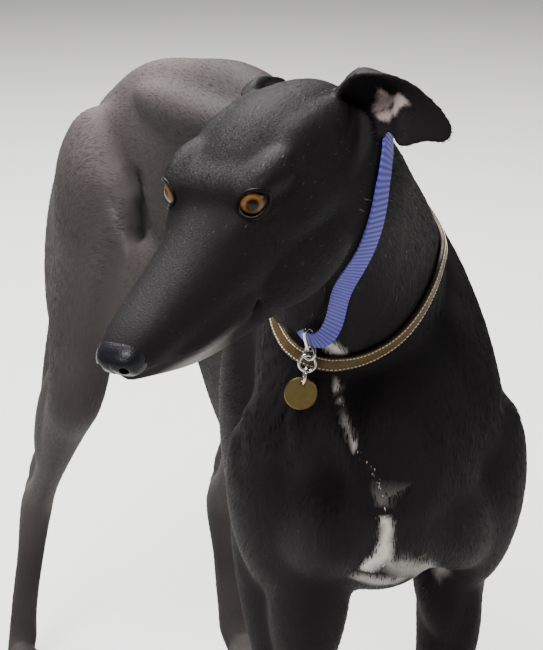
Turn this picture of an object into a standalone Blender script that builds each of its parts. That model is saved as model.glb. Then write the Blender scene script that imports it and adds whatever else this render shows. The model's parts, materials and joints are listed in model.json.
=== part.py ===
"""Greyhound, life size, standing square and looking over its right shoulder.

Metres, +Z up, floor at Z = 0. The dog faces -Y and its left side is +X. Flesh is laid down as
overlapping tubes and spindles, fused into one smooth body, and parted with thin flat cuts.
"""
import math

import bmesh
import bpy
import numpy as np
from mathutils import Matrix, Vector
from mathutils.bvhtree import BVHTree

GAP = 0.0003
BODY_VOXEL = 0.0035
HEAD_VOXEL = 0.0017
PAW_VOXEL = 0.0019
BODY_TRIANGLES = 4300
HEAD_TRIANGLES = 2600
PAW_TRIANGLES = 460
EAR_VOXEL = 0.0012
EAR_TRIANGLES = 420
SOFT_LEVELS = 16

# Torso rows: x, y, height of the widest line, half width, rise to the back, drop to the belly.
TORSO = [
    (-0.046, -0.272, 0.512, 0.032, 0.040, 0.045),
    (-0.034, -0.245, 0.512, 0.062, 0.082, 0.090),
    (-0.019, -0.195, 0.508, 0.075, 0.130, 0.129),
    (-0.003, -0.130, 0.505, 0.078, 0.188, 0.140),
    (0.010, -0.070, 0.505, 0.077, 0.195, 0.150),
    (0.018, 0.000, 0.515, 0.075, 0.188, 0.156),
    (0.020, 0.065, 0.545, 0.068, 0.165, 0.143),
    (0.012, 0.130, 0.585, 0.060, 0.132, 0.125),
    (0.005, 0.190, 0.600, 0.052, 0.103, 0.100),
    (0.001, 0.250, 0.605, 0.047, 0.083, 0.095),
    (0.000, 0.310, 0.597, 0.040, 0.063, 0.075),
    (0.000, 0.355, 0.588, 0.032, 0.045, 0.050),
    (0.000, 0.385, 0.580, 0.014, 0.018, 0.020),
]
# Neck rows run from the skull down to the chest: x, y, z, half width, crest, throat.
NECK = [
    (-0.128, -0.318, 0.748, 0.034, 0.030, 0.038),
    (-0.104, -0.298, 0.722, 0.040, 0.038, 0.046),
    (-0.077, -0.268, 0.690, 0.043, 0.045, 0.052),
    (-0.052, -0.232, 0.655, 0.051, 0.056, 0.062),
    (-0.030, -0.190, 0.615, 0.060, 0.072, 0.082),
    (-0.011, -0.130, 0.570, 0.073, 0.092, 0.100),
    (0.000, -0.070, 0.540, 0.070, 0.090, 0.090),
]
# The fold of the throat runs from under the jaw to here, this wide and deep.
THROAT_END = (-0.099, -0.232, 0.6045)
THROAT_SIZE = (0.020, 0.0165)
TAIL = [
    (0.000, 0.330, 0.605, 0.026, 0.026, 0.028),
    (0.000, 0.376, 0.595, 0.021, 0.022, 0.022),
    (-0.008, 0.409, 0.540, 0.0165, 0.017, 0.017),
    (-0.026, 0.428, 0.460, 0.0135, 0.014, 0.014),
    (-0.042, 0.440, 0.380, 0.0115, 0.012, 0.012),
    (-0.050, 0.454, 0.300, 0.0100, 0.010, 0.010),
    (-0.047, 0.474, 0.230, 0.0085, 0.0085, 0.0085),
    (-0.041, 0.502, 0.180, 0.0070, 0.0070, 0.0070),
    (-0.036, 0.536, 0.160, 0.0050, 0.0050, 0.0050),
]
# Foreleg girths from the elbow down: height, half width, depth behind, depth in front.
FORE_GIRTHS = [
    (0.430, 0.034, 0.040, 0.038),
    (0.385, 0.033, 0.042, 0.036),
    (0.340, 0.0290, 0.037, 0.034),
    (0.300, 0.0245, 0.031, 0.029),
    (0.255, 0.0205, 0.0240, 0.0225),
    (0.205, 0.0158, 0.0178, 0.0172),
    (0.175, 0.0170, 0.0175, 0.0175),
    (0.152, 0.0190, 0.0195, 0.0185),
    (0.128, 0.0165, 0.0160, 0.0165),
    (0.095, 0.0150, 0.0145, 0.0150),
    (0.060, 0.0165, 0.0150, 0.0170),
    (0.030, 0.0150, 0.0120, 0.0150),
]
FORELEGS = {
    "right": {"elbow": (-0.059, -0.116), "wrist": (-0.046, -0.130), "paw": (-0.046, -0.152), "turn": 14,
              "girth": 1.04, "brawn": 0.040, "front": 0.031},
    "left": {"elbow": (0.069, -0.160), "wrist": (0.050, -0.166), "paw": (0.046, -0.188), "turn": 14,
             "girth": 0.88, "brawn": 0.008, "front": 0.0},
}
HINDLEGS = {
    "right": {"hip": (-0.046, 0.280, 0.605), "stifle": (-0.077, 0.284, 0.374),
              "hock": (-0.0675, 0.456, 0.182), "paw": (-0.097, 0.432), "turn": 4},
    "left": {"hip": (0.052, 0.275, 0.605), "stifle": (0.086, 0.226, 0.378),
             "hock": (0.112, 0.382, 0.184), "paw": (0.122, 0.350), "turn": -6},
}
# Toes from side to side: the place in steps from the middle, and how far each is held back.
TOES = [(-1.5, -0.004), (-0.5, 0.004), (0.5, 0.004), (1.5, -0.004)]
TOE_STEP = 0.0105
TOE_LEAN = 0.0018
HINDPAW_SIZE = 0.93

# Head frame: x to its left, y back from the nose tip, z up.
HEAD_AT = Vector((-0.2878, -0.4036, 0.6558))
HEAD_TURN = math.radians(-58)
HEAD_DROP = math.radians(19)
HEAD_TILT = math.radians(-3)
HEAD_SCALE = 0.928
# Skull and muzzle rows: distance from the nose tip, top, bottom, half width, squareness.
SKULL = [
    (0.004, 0.0176, -0.0020, 0.0150, 2.3),
    (0.018, 0.0226, -0.0060, 0.0204, 2.4),
    (0.040, 0.0272, -0.0110, 0.0238, 2.3),
    (0.060, 0.0312, -0.0150, 0.0264, 2.3),
    (0.080, 0.0356, -0.0180, 0.0288, 2.2),
    (0.100, 0.0412, -0.0200, 0.0314, 2.2),
    (0.120, 0.0485, -0.0220, 0.0340, 2.3),
    (0.140, 0.0590, -0.0230, 0.0372, 2.4),
    (0.160, 0.0682, -0.0240, 0.0400, 2.4),
    (0.180, 0.0732, -0.0260, 0.0424, 2.3),
    (0.200, 0.0722, -0.0280, 0.0438, 2.2),
    (0.220, 0.0665, -0.0300, 0.0430, 2.1),
    (0.245, 0.0545, -0.0320, 0.0395, 2.0),
    (0.268, 0.0430, -0.0220, 0.0300, 2.0),
]
JAW = [
    (0.012, -0.0100, 0.0100),
    (0.030, -0.0190, 0.0145),
    (0.060, -0.0330, 0.0172),
    (0.090, -0.0415, 0.0200),
    (0.120, -0.0465, 0.0235),
    (0.150, -0.0510, 0.0275),
    (0.180, -0.0540, 0.0300),
    (0.205, -0.0540, 0.0300),
    (0.230, -0.0480, 0.0270),
]
NOSE = [
    (-0.0020, 0.0080, 0.0000, 0.0060),
    (0.0000, 0.0125, -0.0020, 0.0115),
    (0.0040, 0.0163, -0.0035, 0.0150),
    (0.0100, 0.0186, -0.0035, 0.0163),
    (0.0160, 0.0194, -0.0005, 0.0156),
    (0.0220, 0.0196, 0.0030, 0.0126),
    (0.0270, 0.0188, 0.0080, 0.0085),
]
EYE_PLACE = Vector((0.0253, 0.1262, 0.0451))
EYE_LOOK = Vector((0.641, -0.764, 0.080)).normalized()
EYE_RADIUS = 0.0105
LID_RADIUS = 0.0121
EYE_OPENING = (0.0116, 0.0088, 0.0100)
EYE_SHIFT = 0.0014
# The lip line from under the nose to the corner of the mouth, seen from the side: y, z.
LIP_LINE = [(0.010, -0.0040), (0.022, -0.0078), (0.040, -0.0125), (0.062, -0.0175), (0.086, -0.0230),
            (0.109, -0.0270)]
LIP_GROOVE = 0.0011
NOSTRIL_PLACE = (0.0076, -0.0005, 0.0060)

# Planes that part the flesh: a point and a normal that points towards the head.
COLLAR_PLANE = (Vector((-0.0538, -0.2492, 0.6008)), Vector((-0.793, -0.425, 0.437)))
HEAD_PLANE = (Vector((-0.0970, -0.2860, 0.7120)), Vector((-0.770, -0.620, 0.166)))
TAIL_CUT = 0.555
LEG_REACH = 0.4
PAW_CUT = 0.052
# Where the legs part from the trunk: a point x, z, the slope of the cut, the middle between the
# legs, and the stretch of the body that it holds for.
FORELEG_CUT = {"inset": 0.030, "z": 0.345, "slope": math.radians(37), "middle": 0.005,
               "y": (-0.40, 0.05)}
HINDLEG_CUT = {"x": 0.030, "z": 0.440, "slope": math.radians(29), "middle": 0.0, "y": (0.15, 0.60)}

# The left ear lies folded out sideways. Rows run from its root to its tip, each across from the
# front edge to the back edge, in millimetres: right in the picture's plane, back, up.
LEFT_EAR_ROOT = Vector((0.038, 0.231, 0.045))
LEFT_EAR_TURN = math.radians(-25)
LEFT_EAR = [
    [(-12, -2, 8), (-8, 12, 12), (-4, 18, 0), (-4, 10, -14), (-1, -4, -18)],
    [(-2, -6, 22), (4, 8, 24), (8, 18, 4), (8, 12, -14), (7, -2, -20)],
    [(16, -8, 24), (18, 4, 20), (20, 14, 6), (20, 10, -6), (20, 2, -12)],
    [(30, -6, 20), (30, 0, 12), (28, 2, 2), (27, -2, -8), (26, -8, -18)],
    [(44, -2, 9), (43, 0, 4), (42, 1, -2), (42, -1, -9), (42, -5, -16)],
    [(53, 0, -1), (52, 1, -4), (51, 1, -8), (51, 0, -12), (51, -3, -17)],
    [(58, 1, -10), (57.5, 1, -11), (57, 1, -12.5), (56.5, 1, -14), (56, 0, -15.5)],
]
# The right ear lies folded back over the skull: the same rows in the head's own frame.
RIGHT_EAR = [
    [(-30, 210, 49), (-29, 221, 56), (-33, 233, 49), (-41, 231, 35), (-44, 218, 27)],
    [(-37, 217, 57), (-33, 231, 60), (-37, 243, 51), (-46, 241, 38), (-50, 227, 34)],
    [(-42, 230, 57), (-39, 244, 57), (-41, 256, 47), (-48, 252, 38), (-53, 241, 38)],
    [(-45, 245, 51), (-42, 257, 50), (-44, 266, 42), (-50, 262, 35), (-54, 252, 36)],
    [(-46, 259, 43), (-44, 268, 43), (-45, 274, 39), (-49, 271, 34), (-52, 264, 35)],
    [(-46, 273, 36), (-45, 276, 35), (-45, 279, 33), (-46, 277, 31), (-47, 274, 31)],
]
EAR_THICKNESS = 0.0026
EAR_STEPS = (12, 8)

# Collars run through these places round the neck, on the skin.
BLUE_COLLAR = [(-0.1141, -0.2508, 0.7036), (-0.1050, -0.2500, 0.7450), (-0.0850, -0.2600, 0.7600),
               (-0.0720, -0.2850, 0.7660), (-0.0760, -0.3100, 0.7600), (-0.0882, -0.3266, 0.7508),
               (-0.0990, -0.3405, 0.7370), (-0.0986, -0.3411, 0.7234), (-0.0990, -0.3322, 0.6944),
               (-0.0952, -0.2889, 0.6460), (-0.0810, -0.2343, 0.5956), (-0.0921, -0.2107, 0.6256),
               (-0.1071, -0.2307, 0.6656)]
SLACK_AT = Vector((-0.0810, -0.2343, 0.5956))
BLUE_WIDTH = 0.0122
BLUE_THICKNESS = 0.0018
LEATHER_COLLAR = [(-0.0500, -0.1550, 0.6350), (-0.0120, -0.1880, 0.6460), (0.0040, -0.2320, 0.6460),
                  (-0.0060, -0.2610, 0.6450), (-0.0175, -0.2676, 0.6338), (-0.0283, -0.2703, 0.6169),
                  (-0.0381, -0.2673, 0.6015), (-0.0494, -0.2626, 0.5912), (-0.0603, -0.2553, 0.5835),
                  (-0.0693, -0.2443, 0.5775), (-0.0780, -0.2322, 0.5745), (-0.0852, -0.2180, 0.5752),
                  (-0.0903, -0.2037, 0.5795), (-0.0925, -0.1820, 0.5930)]
LEATHER_WIDTH = 0.0105
LEATHER_THICKNESS = 0.0028
STRAP_STEPS = 64
SLACK = 0.0055
WIRE = 0.0011
KEEPER_LENGTH = 0.0089
KEEPER_DEPTH = 0.0033
KEEPER_SHIFT = 0.0012
# The tag hangs in front of the swell of the chest, so its chain slants outwards a little.
DROP = Vector((-0.24, -0.02, -0.97)).normalized()
FACING = Vector((-0.41, -0.91, 0.10)).normalized()
RING_RADII = (0.0045, 0.0055, 0.0058)
TAG_RADIUS = 0.0112
TAG_THICKNESS = 0.0016
TAG_HOLE_DROP = 0.0072
TAG_HOLE_RADIUS = 0.0020
SHARP_ANGLE = math.radians(40)
# Names start, colour, roughness, metallic.
LOOKS = [
    ("eye", (0.045, 0.022, 0.010), 0.08, 0.0),
    ("nose", (0.012, 0.012, 0.014), 0.35, 0.0),
    ("collar_blue", (0.030, 0.070, 0.330), 0.70, 0.0),
    ("collar_leather", (0.140, 0.060, 0.025), 0.55, 0.0),
    ("keeper", (0.62, 0.62, 0.62), 0.25, 1.0),
    ("tag_ring", (0.62, 0.62, 0.62), 0.25, 1.0),
    ("tag", (0.70, 0.50, 0.20), 0.30, 1.0),
    ("", (0.016, 0.015, 0.017), 0.55, 0.0),
]
STRAP_CLEARANCE = 0.0010
SLACK_REACH = 0.025
MERGE = 1e-5


def finish(name, colour, roughness, metallic=0.0):
    """A Principled material of one colour."""
    made = bpy.data.materials.new(name)
    made.use_nodes = True
    shader = made.node_tree.nodes["Principled BSDF"]
    shader.inputs["Base Color"].default_value = (*colour, 1.0)
    shader.inputs["Roughness"].default_value = roughness
    shader.inputs["Metallic"].default_value = metallic
    return made


def smooth_rows(rows, count):
    """Rows of numbers, whose first three are a place, read off a smooth curve through them."""
    rows = np.asarray(rows, float)
    steps = np.linalg.norm(np.diff(rows[:, :3], axis=0), axis=1)
    at = np.concatenate([[0.0], np.cumsum(steps)])
    slope = np.gradient(rows, at, axis=0)
    want = np.linspace(0.0, at[-1], count)
    i = np.clip(np.searchsorted(at, want, side="right") - 1, 0, len(at) - 2)
    span = (at[i + 1] - at[i])[:, None]
    t = (want - at[i])[:, None] / span
    return ((2 * t**3 - 3 * t**2 + 1) * rows[i] + (t**3 - 2 * t**2 + t) * span * slope[i]
            + (3 * t**2 - 2 * t**3) * rows[i + 1] + (t**3 - t**2) * span * slope[i + 1])


def tube(bm, rows, side=(1, 0, 0), sides=32, count=40, frame=None):
    """A closed round body along a path: x, y, z, half width, rise, drop and squareness a row."""
    rows = [tuple(row) + (2.0,) * (7 - len(row)) for row in rows]
    line = smooth_rows(rows, count)
    along = np.gradient(line[:, :3], axis=0)
    along /= np.linalg.norm(along, axis=1)[:, None]
    across = np.asarray(side, float) - along * (along @ np.asarray(side, float))[:, None]
    across /= np.linalg.norm(across, axis=1)[:, None]
    rise = np.cross(across, along)
    made = bmesh.ops.create_uvsphere(bm, u_segments=sides, v_segments=count + 1, radius=1.0)
    for vert in made["verts"]:
        ring = round(math.acos(max(-1.0, min(1.0, vert.co.z))) / math.pi * (count + 1)) - 1
        angle = math.atan2(vert.co.y, vert.co.x)
        pole = ring < 0 or ring >= count
        ring = min(max(ring, 0), count - 1)
        place = line[ring, :3].copy()
        if not pole:
            half, up, down, power = line[ring, 3:7]
            c, s = math.cos(angle), math.sin(angle)
            place += across[ring] * half * math.copysign(abs(c) ** (2 / power), c)
            place += rise[ring] * (up if s > 0 else down) * math.copysign(abs(s) ** (2 / power), s)
        vert.co = place
    finish_piece(bm, made["verts"], frame)


def spindle(bm, start, end, width, depth, side=(1, 0, 0), frame=None, facets=18):
    """A muscle: an egg-shaped body between two points, its width measured along side."""
    start, end = Vector(start), Vector(end)
    along = (end - start).normalized()
    across = Vector(side) - along * Vector(side).dot(along)
    across.normalize()
    other = along.cross(across)
    turn = Matrix((across, other, along)).transposed()
    made = bmesh.ops.create_uvsphere(bm, u_segments=facets, v_segments=facets - 4, radius=1.0)
    half = (end - start).length / 2
    for vert in made["verts"]:
        size = Vector((vert.co.x * width, vert.co.y * depth, vert.co.z * half))
        vert.co = (start + end) / 2 + turn @ size
    finish_piece(bm, made["verts"], frame)


def finish_piece(bm, verts, frame):
    """Turns a new piece's faces outwards and moves it into its frame."""
    faces = {face for vert in verts for face in vert.link_faces}
    bmesh.ops.recalc_face_normals(bm, faces=list(faces))
    if frame is not None:
        bmesh.ops.transform(bm, matrix=frame, verts=verts)


def torso_flesh(bm):
    """Rib cage, loin, croup, shoulders, thighs' roots and the long muscles of the back."""
    tube(bm, TORSO, sides=40, count=60)
    tube(bm, NECK, side=(0.93, -0.36, 0.0), sides=32, count=40)
    for sign, name in ((-1, "right"), (1, "left")):
        elbow = Vector((*FORELEGS[name]["elbow"], 0.375))
        top = Vector((0.003 + 0.030 * sign, -0.112 - 0.010 * sign, 0.655))
        point = Vector((-0.0275 + 0.0745 * sign, -0.224 - 0.026 * sign, 0.500))
        outward = (1.0, -0.3, 0.0)
        spindle(bm, top, point, 0.022, 0.052, outward)
        spindle(bm, point + Vector((0.004 * sign, 0.008, 0.035)), elbow + Vector((0, -0.015, -0.02)),
                0.034, 0.040, outward)
        spindle(bm, (top + point) / 2 + Vector((0.014 * sign, 0.045, 0.0)),
                elbow + Vector((0.002 * sign, 0.025, -0.01)), 0.026, 0.048, outward)
        spindle(bm, (-0.040 + 0.030 * sign, -0.258, 0.495), elbow + Vector((-0.01 * sign, -0.03, 0.02)),
                0.036, 0.042, outward)
        if FORELEGS[name]["front"]:
            spindle(bm, elbow + Vector((0.004 * sign, -0.075, 0.105)), elbow + Vector((-0.008 * sign, -0.030, -0.095)),
                    0.032, FORELEGS[name]["front"], outward)
        spindle(bm, (-0.027 + 0.031 * sign, -0.220, 0.610), point + Vector((0, 0.01, -0.01)),
                0.028, 0.036, outward)
        spindle(bm, elbow + Vector((-0.022 * sign, -0.01, 0.05)), elbow + Vector((-0.010 * sign, -0.015, -0.07)),
                0.024, 0.030, outward)
        hip = Vector(HINDLEGS[name]["hip"])
        stifle = Vector(HINDLEGS[name]["stifle"])
        hock = Vector(HINDLEGS[name]["hock"])
        spindle(bm, (0.010 + 0.026 * sign, -0.06, 0.658), (0.002 + 0.030 * sign, 0.240, 0.664),
                0.026, 0.026)
        spindle(bm, hip + Vector((-0.024 * sign, -0.090, 0.022)), hip + Vector((-0.008 * sign, 0.060, -0.02)),
                0.022, 0.046)
        spindle(bm, hip + Vector((-0.010 * sign, 0.082, 0.0)), stifle + Vector((-0.004 * sign, 0.034, 0.02)),
                0.028, 0.046)
        spindle(bm, hip + Vector((-0.008 * sign, -0.050, 0.0)), stifle + Vector((-0.006 * sign, -0.006, 0.015)),
                0.030, 0.046)
        spindle(bm, hip + Vector((-0.028 * sign, 0.035, -0.05)), stifle + Vector((-0.016 * sign, 0.02, 0.03)),
                0.028, 0.050)
        spindle(bm, stifle + Vector((0.002 * sign, 0.022, 0.03)), stifle.lerp(hock, 0.72), 0.021, 0.026)
        spindle(bm, (0.037 * sign, 0.142, 0.540), stifle + Vector((-0.014 * sign, -0.024, 0.046)),
                0.014, 0.050)


def foreleg_rows(name):
    """Rows of one foreleg from inside the chest down into its paw."""
    leg = FORELEGS[name]
    places = [(0.45, leg["elbow"]), (0.37, leg["elbow"]), (0.155, leg["wrist"]), (0.075, leg["wrist"]),
              (0.0, leg["paw"])]
    heights = [place[0] for place in places][::-1]
    rows = []
    for z, half, back, front in FORE_GIRTHS:
        half *= float(np.interp(z, (0.20, 0.32), (1.0, leg["girth"])))
        x = float(np.interp(z, heights, [place[1][0] for place in places][::-1]))
        y = float(np.interp(z, heights, [place[1][1] for place in places][::-1]))
        rows.append((x, y, z, half, back, front))
    return rows


def hindleg_rows(name):
    """Rows of one hind leg from the hip by stifle and hock down into its paw."""
    leg = HINDLEGS[name]
    hip, stifle, hock = (Vector(leg[key]) for key in ("hip", "stifle", "hock"))
    foot = Vector((*leg["paw"], 0.0)) + Vector((0, 0.026, 0))
    rows = [
        (hip.x * 0.45, hip.y - 0.012, hip.z + 0.040, 0.010, 0.020, 0.026),
        (hip.x * 0.72, hip.y - 0.008, hip.z + 0.019, 0.018, 0.040, 0.044),
        (*hip, 0.0245, 0.056, 0.056),
        (*hip.lerp(stifle, 0.40), 0.031, 0.069, 0.060),
        (*hip.lerp(stifle, 0.75), 0.030, 0.055, 0.047),
        (*stifle, 0.0265, 0.038, 0.030),
        (*stifle.lerp(hock, 0.25), 0.0222, 0.029, 0.023),
        (*stifle.lerp(hock, 0.50), 0.0172, 0.0215, 0.0180),
        (*stifle.lerp(hock, 0.80), 0.0140, 0.0180, 0.0150),
        (*hock, 0.0165, 0.0240, 0.0190),
        (*hock.lerp(foot, 0.30), 0.0145, 0.0180, 0.0150),
        (*hock.lerp(foot, 0.60), 0.0145, 0.0150, 0.0145),
        (*(hock.lerp(foot, 0.80) + Vector((0, -0.006, 0))), 0.0155, 0.0140, 0.0160),
        (*(foot + Vector((0, -0.016, 0.022))), 0.0150, 0.0120, 0.0150),
    ]
    return rows


def legs_flesh(bm):
    for sign, name in ((-1, "right"), (1, "left")):
        tube(bm, foreleg_rows(name), side=(1.0, -0.25, 0), sides=24, count=50)
        elbow = Vector((*FORELEGS[name]["elbow"], 0.375))
        spindle(bm, elbow + Vector((0, 0.030, 0.030)), elbow + Vector((0, 0.026, -0.040)), 0.017, 0.016)
        brawn = FORELEGS[name]["brawn"]
        spindle(bm, elbow + Vector((-brawn * sign, -0.012, 0.055)),
                elbow + Vector((-brawn * 0.4 * sign, -0.014, -0.105)), 0.021, 0.028)
        wrist = Vector((*FORELEGS[name]["wrist"], 0.152))
        spindle(bm, wrist + Vector((0, 0.012, 0.014)), wrist + Vector((0, 0.013, -0.012)), 0.010, 0.012)
        tube(bm, hindleg_rows(name), sides=24, count=60)
        hock = Vector(HINDLEGS[name]["hock"])
        spindle(bm, hock + Vector((0, 0.014, 0.034)), hock + Vector((0, 0.012, -0.030)), 0.0095, 0.0125)
        middle = hock.lerp(Vector(HINDLEGS[name]["stifle"]), 0.35)
        spindle(bm, hock + Vector((0, 0.022, 0.022)), middle + Vector((0, 0.016, 0.03)), 0.0060, 0.0070)
        spindle(bm, hock + Vector((0, 0.004, 0.006)), middle + Vector((0, 0.004, 0.05)), 0.0048, 0.0150)


def head_frame():
    turn = Matrix.Rotation(HEAD_TURN, 4, "Z") @ Matrix.Rotation(HEAD_DROP, 4, "X")
    turn = turn @ Matrix.Rotation(HEAD_TILT, 4, "Y")
    return Matrix.Translation(HEAD_AT) @ turn @ Matrix.Scale(HEAD_SCALE, 4)


def head_flesh(bm):
    """Skull, muzzle, jaw, brows, cheeks and the upper neck."""
    frame = head_frame()
    skull = [(0, y, (top + low) / 2, half, (top - low) / 2, (top - low) / 2, power)
             for y, top, low, half, power in SKULL]
    tube(bm, skull, sides=36, count=60, frame=frame)
    jaw = [(0, y, low + 0.016, half, 0.016, 0.016, 2.2) for y, low, half in JAW]
    tube(bm, jaw, sides=28, count=50, frame=frame)
    for sign in (-1, 1):
        def at(x, y, z):
            return (x * sign, y, z)
        spindle(bm, at(0.028, 0.116, 0.0500), at(0.0325, 0.166, 0.0580), 0.0120, 0.0090, frame=frame)
        spindle(bm, at(0.018, 0.092, 0.024), at(0.030, 0.165, 0.036), 0.012, 0.016, frame=frame)
        spindle(bm, at(0.018, 0.140, 0.047), at(0.025, 0.204, 0.059), 0.019, 0.014, frame=frame)
        spindle(bm, at(0.024, 0.110, -0.014), at(0.032, 0.215, -0.018), 0.012, 0.030, frame=frame)
        spindle(bm, at(0.031, 0.130, 0.016), at(0.038, 0.220, 0.022), 0.009, 0.020, frame=frame)
        spindle(bm, at(0.025, 0.150, 0.048), at(0.025, 0.240, 0.044), 0.017, 0.020, frame=frame)
        spindle(bm, at(0.014, 0.030, -0.004), at(0.024, 0.112, -0.014), 0.008, 0.014, frame=frame)
        place = Vector(at(*EYE_PLACE))
        spindle(bm, place - Vector((0, 0.0125, 0)), place + Vector((0, 0.0125, 0)), 0.0122, 0.0122,
                frame=frame)
    spindle(bm, (-0.042, 0.147, 0.0480), (0.042, 0.147, 0.0480), 0.034, 0.0135, side=(0, 1, 0), frame=frame)
    tube(bm, NECK, side=(0.93, -0.36, 0.0), sides=32, count=40)
    spindle(bm, frame @ Vector((0, 0.185, -0.034)), THROAT_END, *THROAT_SIZE)


def fused(name, bm, voxel, rounds, weight):
    """One smooth mesh object of everything in bm."""
    mesh = bpy.data.meshes.new(name)
    bm.to_mesh(mesh)
    bm.free()
    obj = bpy.data.objects.new(name, mesh)
    bpy.context.scene.collection.objects.link(obj)
    remesh = obj.modifiers.new("skin", "REMESH")
    remesh.mode = "VOXEL"
    remesh.voxel_size = voxel
    remesh.use_smooth_shade = True
    apply_modifiers(obj)
    soften(obj, rounds, weight)
    return obj


def soften(obj, rounds, weight):
    """Relaxes the surface, by as much as weight says at each point."""
    group = obj.vertex_groups.new(name="soft")
    mesh = obj.data
    places = np.empty(len(mesh.vertices) * 3)
    mesh.vertices.foreach_get("co", places)
    levels = np.round(weight(places.reshape(-1, 3)) * SOFT_LEVELS).astype(int)
    for level in np.unique(levels):
        group.add(np.flatnonzero(levels == level).tolist(), level / SOFT_LEVELS, "REPLACE")
    relax = obj.modifiers.new("relax", "SMOOTH")
    relax.factor = 0.5
    relax.iterations = rounds
    relax.vertex_group = group.name
    apply_modifiers(obj)


def trunk_weight(places):
    """Full on the trunk, fading to a trace on the legs and tail."""
    fade = np.clip((places[:, 2] - 0.30) / 0.12, 0.0, 1.0)
    tail = np.clip((places[:, 1] - 0.385) / 0.02, 0.0, 1.0)
    return np.maximum(fade * (1.0 - tail), 0.12)


def even_weight(places):
    return np.ones(len(places))


def apply_modifiers(obj):
    """Replaces an object's mesh with what its modifiers make of it."""
    graph = bpy.context.evaluated_depsgraph_get()
    made = bpy.data.meshes.new_from_object(obj.evaluated_get(graph))
    old = obj.data
    obj.modifiers.clear()
    obj.data = made
    bpy.data.meshes.remove(old)


def keep_largest(obj):
    """Welds the crumbs of earlier cuts and drops all but the largest closed surface."""
    bm = bmesh.new()
    bm.from_mesh(obj.data)
    bmesh.ops.triangulate(bm, faces=bm.faces[:])
    bmesh.ops.remove_doubles(bm, verts=bm.verts[:], dist=MERGE)
    bmesh.ops.dissolve_degenerate(bm, edges=bm.edges[:], dist=MERGE)
    left = set(bm.faces)
    bodies = []
    while left:
        stack = [left.pop()]
        body = []
        while stack:
            face = stack.pop()
            body.append(face)
            for edge in face.edges:
                for other in edge.link_faces:
                    if other in left:
                        left.remove(other)
                        stack.append(other)
        bodies.append(body)
    bodies.sort(key=lambda body: sum(face.calc_area() for face in body))
    for body in bodies[:-1]:
        bmesh.ops.delete(bm, geom=body, context="FACES")
    bm.to_mesh(obj.data)
    bm.free()


def thinned(obj, triangles):
    """Fewer triangles, more of them where the surface bends."""
    now = sum(len(face.vertices) - 2 for face in obj.data.polygons)
    fewer = obj.modifiers.new("fewer", "DECIMATE")
    fewer.ratio = min(1.0, triangles / now)
    apply_modifiers(obj)


def duplicate(obj, name):
    made = bpy.data.objects.new(name, obj.data.copy())
    bpy.context.scene.collection.objects.link(made)
    return made


def slice_off(obj, point, normal):
    """Cuts away what lies on the side of a plane that normal points to, less half a gap."""
    normal = Vector(normal).normalized()
    bm = bmesh.new()
    bm.from_mesh(obj.data)
    cut = bmesh.ops.bisect_plane(bm, geom=bm.verts[:] + bm.edges[:] + bm.faces[:], dist=1e-7,
                                 plane_co=Vector(point) - normal * GAP / 2, plane_no=normal,
                                 clear_outer=True)
    rim = [item for item in cut["geom_cut"] if isinstance(item, bmesh.types.BMEdge)]
    bmesh.ops.edgeloop_fill(bm, edges=rim)
    bmesh.ops.triangulate(bm, faces=[face for face in bm.faces if len(face.verts) > 4])
    bmesh.ops.recalc_face_normals(bm, faces=bm.faces[:])
    bm.to_mesh(obj.data)
    bm.free()
    keep_largest(obj)


def boxed(name, low, high):
    """A box cutter between two corners."""
    bm = bmesh.new()
    made = bmesh.ops.create_cube(bm, size=1.0)
    low, high = Vector(low), Vector(high)
    for vert in made["verts"]:
        vert.co = Vector((low[i] + (high[i] - low[i]) * (vert.co[i] + 0.5) for i in range(3)))
    return shown(name, bm)


def shown(name, bm):
    """A scene object of what is in bm, its faces turned outwards."""
    if bm.calc_volume(signed=True) < 0.0:
        bmesh.ops.reverse_faces(bm, faces=bm.faces[:])
    mesh = bpy.data.meshes.new(name)
    bm.to_mesh(mesh)
    bm.free()
    obj = bpy.data.objects.new(name, mesh)
    bpy.context.scene.collection.objects.link(obj)
    return obj


def combine(obj, tool, operation, solver="EXACT"):
    """Applies one Boolean to an object and removes the tool."""
    step = obj.modifiers.new("combine", "BOOLEAN")
    step.operation = operation
    step.solver = solver
    step.object = tool
    apply_modifiers(obj)
    bpy.data.objects.remove(tool, do_unlink=True)


def grown(obj, name, distance=GAP):
    """A copy of an object, a little larger all round."""
    made = duplicate(obj, name)
    push = made.modifiers.new("push", "DISPLACE")
    push.strength = distance
    push.mid_level = 0.0
    apply_modifiers(made)
    return made


def leg_cutter(x, cut, sign, grow):
    """A prism round one leg, bounded by a slanting cut above and the middle between the legs."""
    out = Vector((math.cos(cut["slope"]) * sign, -math.sin(cut["slope"])))
    up = Vector((math.sin(cut["slope"]) * sign, math.cos(cut["slope"])))
    start = Vector((x, cut["z"])) - out * grow
    middle = cut["middle"] - grow * sign
    high = start + up * LEG_REACH
    low = start - up * abs((start.x - middle) / up.x)
    side = start.x + LEG_REACH * sign
    outline = [high, Vector((side, high.y)), Vector((side, -LEG_REACH)), Vector((middle, -LEG_REACH)), low]
    bm = bmesh.new()
    made = bmesh.ops.create_circle(bm, cap_ends=True, segments=len(outline), radius=1.0)
    for vert, (px, pz) in zip(made["verts"], outline):
        vert.co = (px, cut["y"][0] - grow, pz)
    pulled = bmesh.ops.extrude_face_region(bm, geom=bm.faces[:])
    for item in pulled["geom"]:
        if isinstance(item, bmesh.types.BMVert):
            item.co.y = cut["y"][1] + grow
    bmesh.ops.recalc_face_normals(bm, faces=bm.faces[:])
    return shown("cutter", bm)


def split_leg(obj, name, x, cut, sign):
    """Parts a leg from the trunk, leaving a gap, and returns it as a new object."""
    leg = duplicate(obj, name)
    combine(leg, leg_cutter(x, cut, sign, -GAP / 2), "INTERSECT")
    combine(obj, leg_cutter(x, cut, sign, GAP / 2), "DIFFERENCE")
    keep_largest(leg)
    keep_largest(obj)
    return leg


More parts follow.
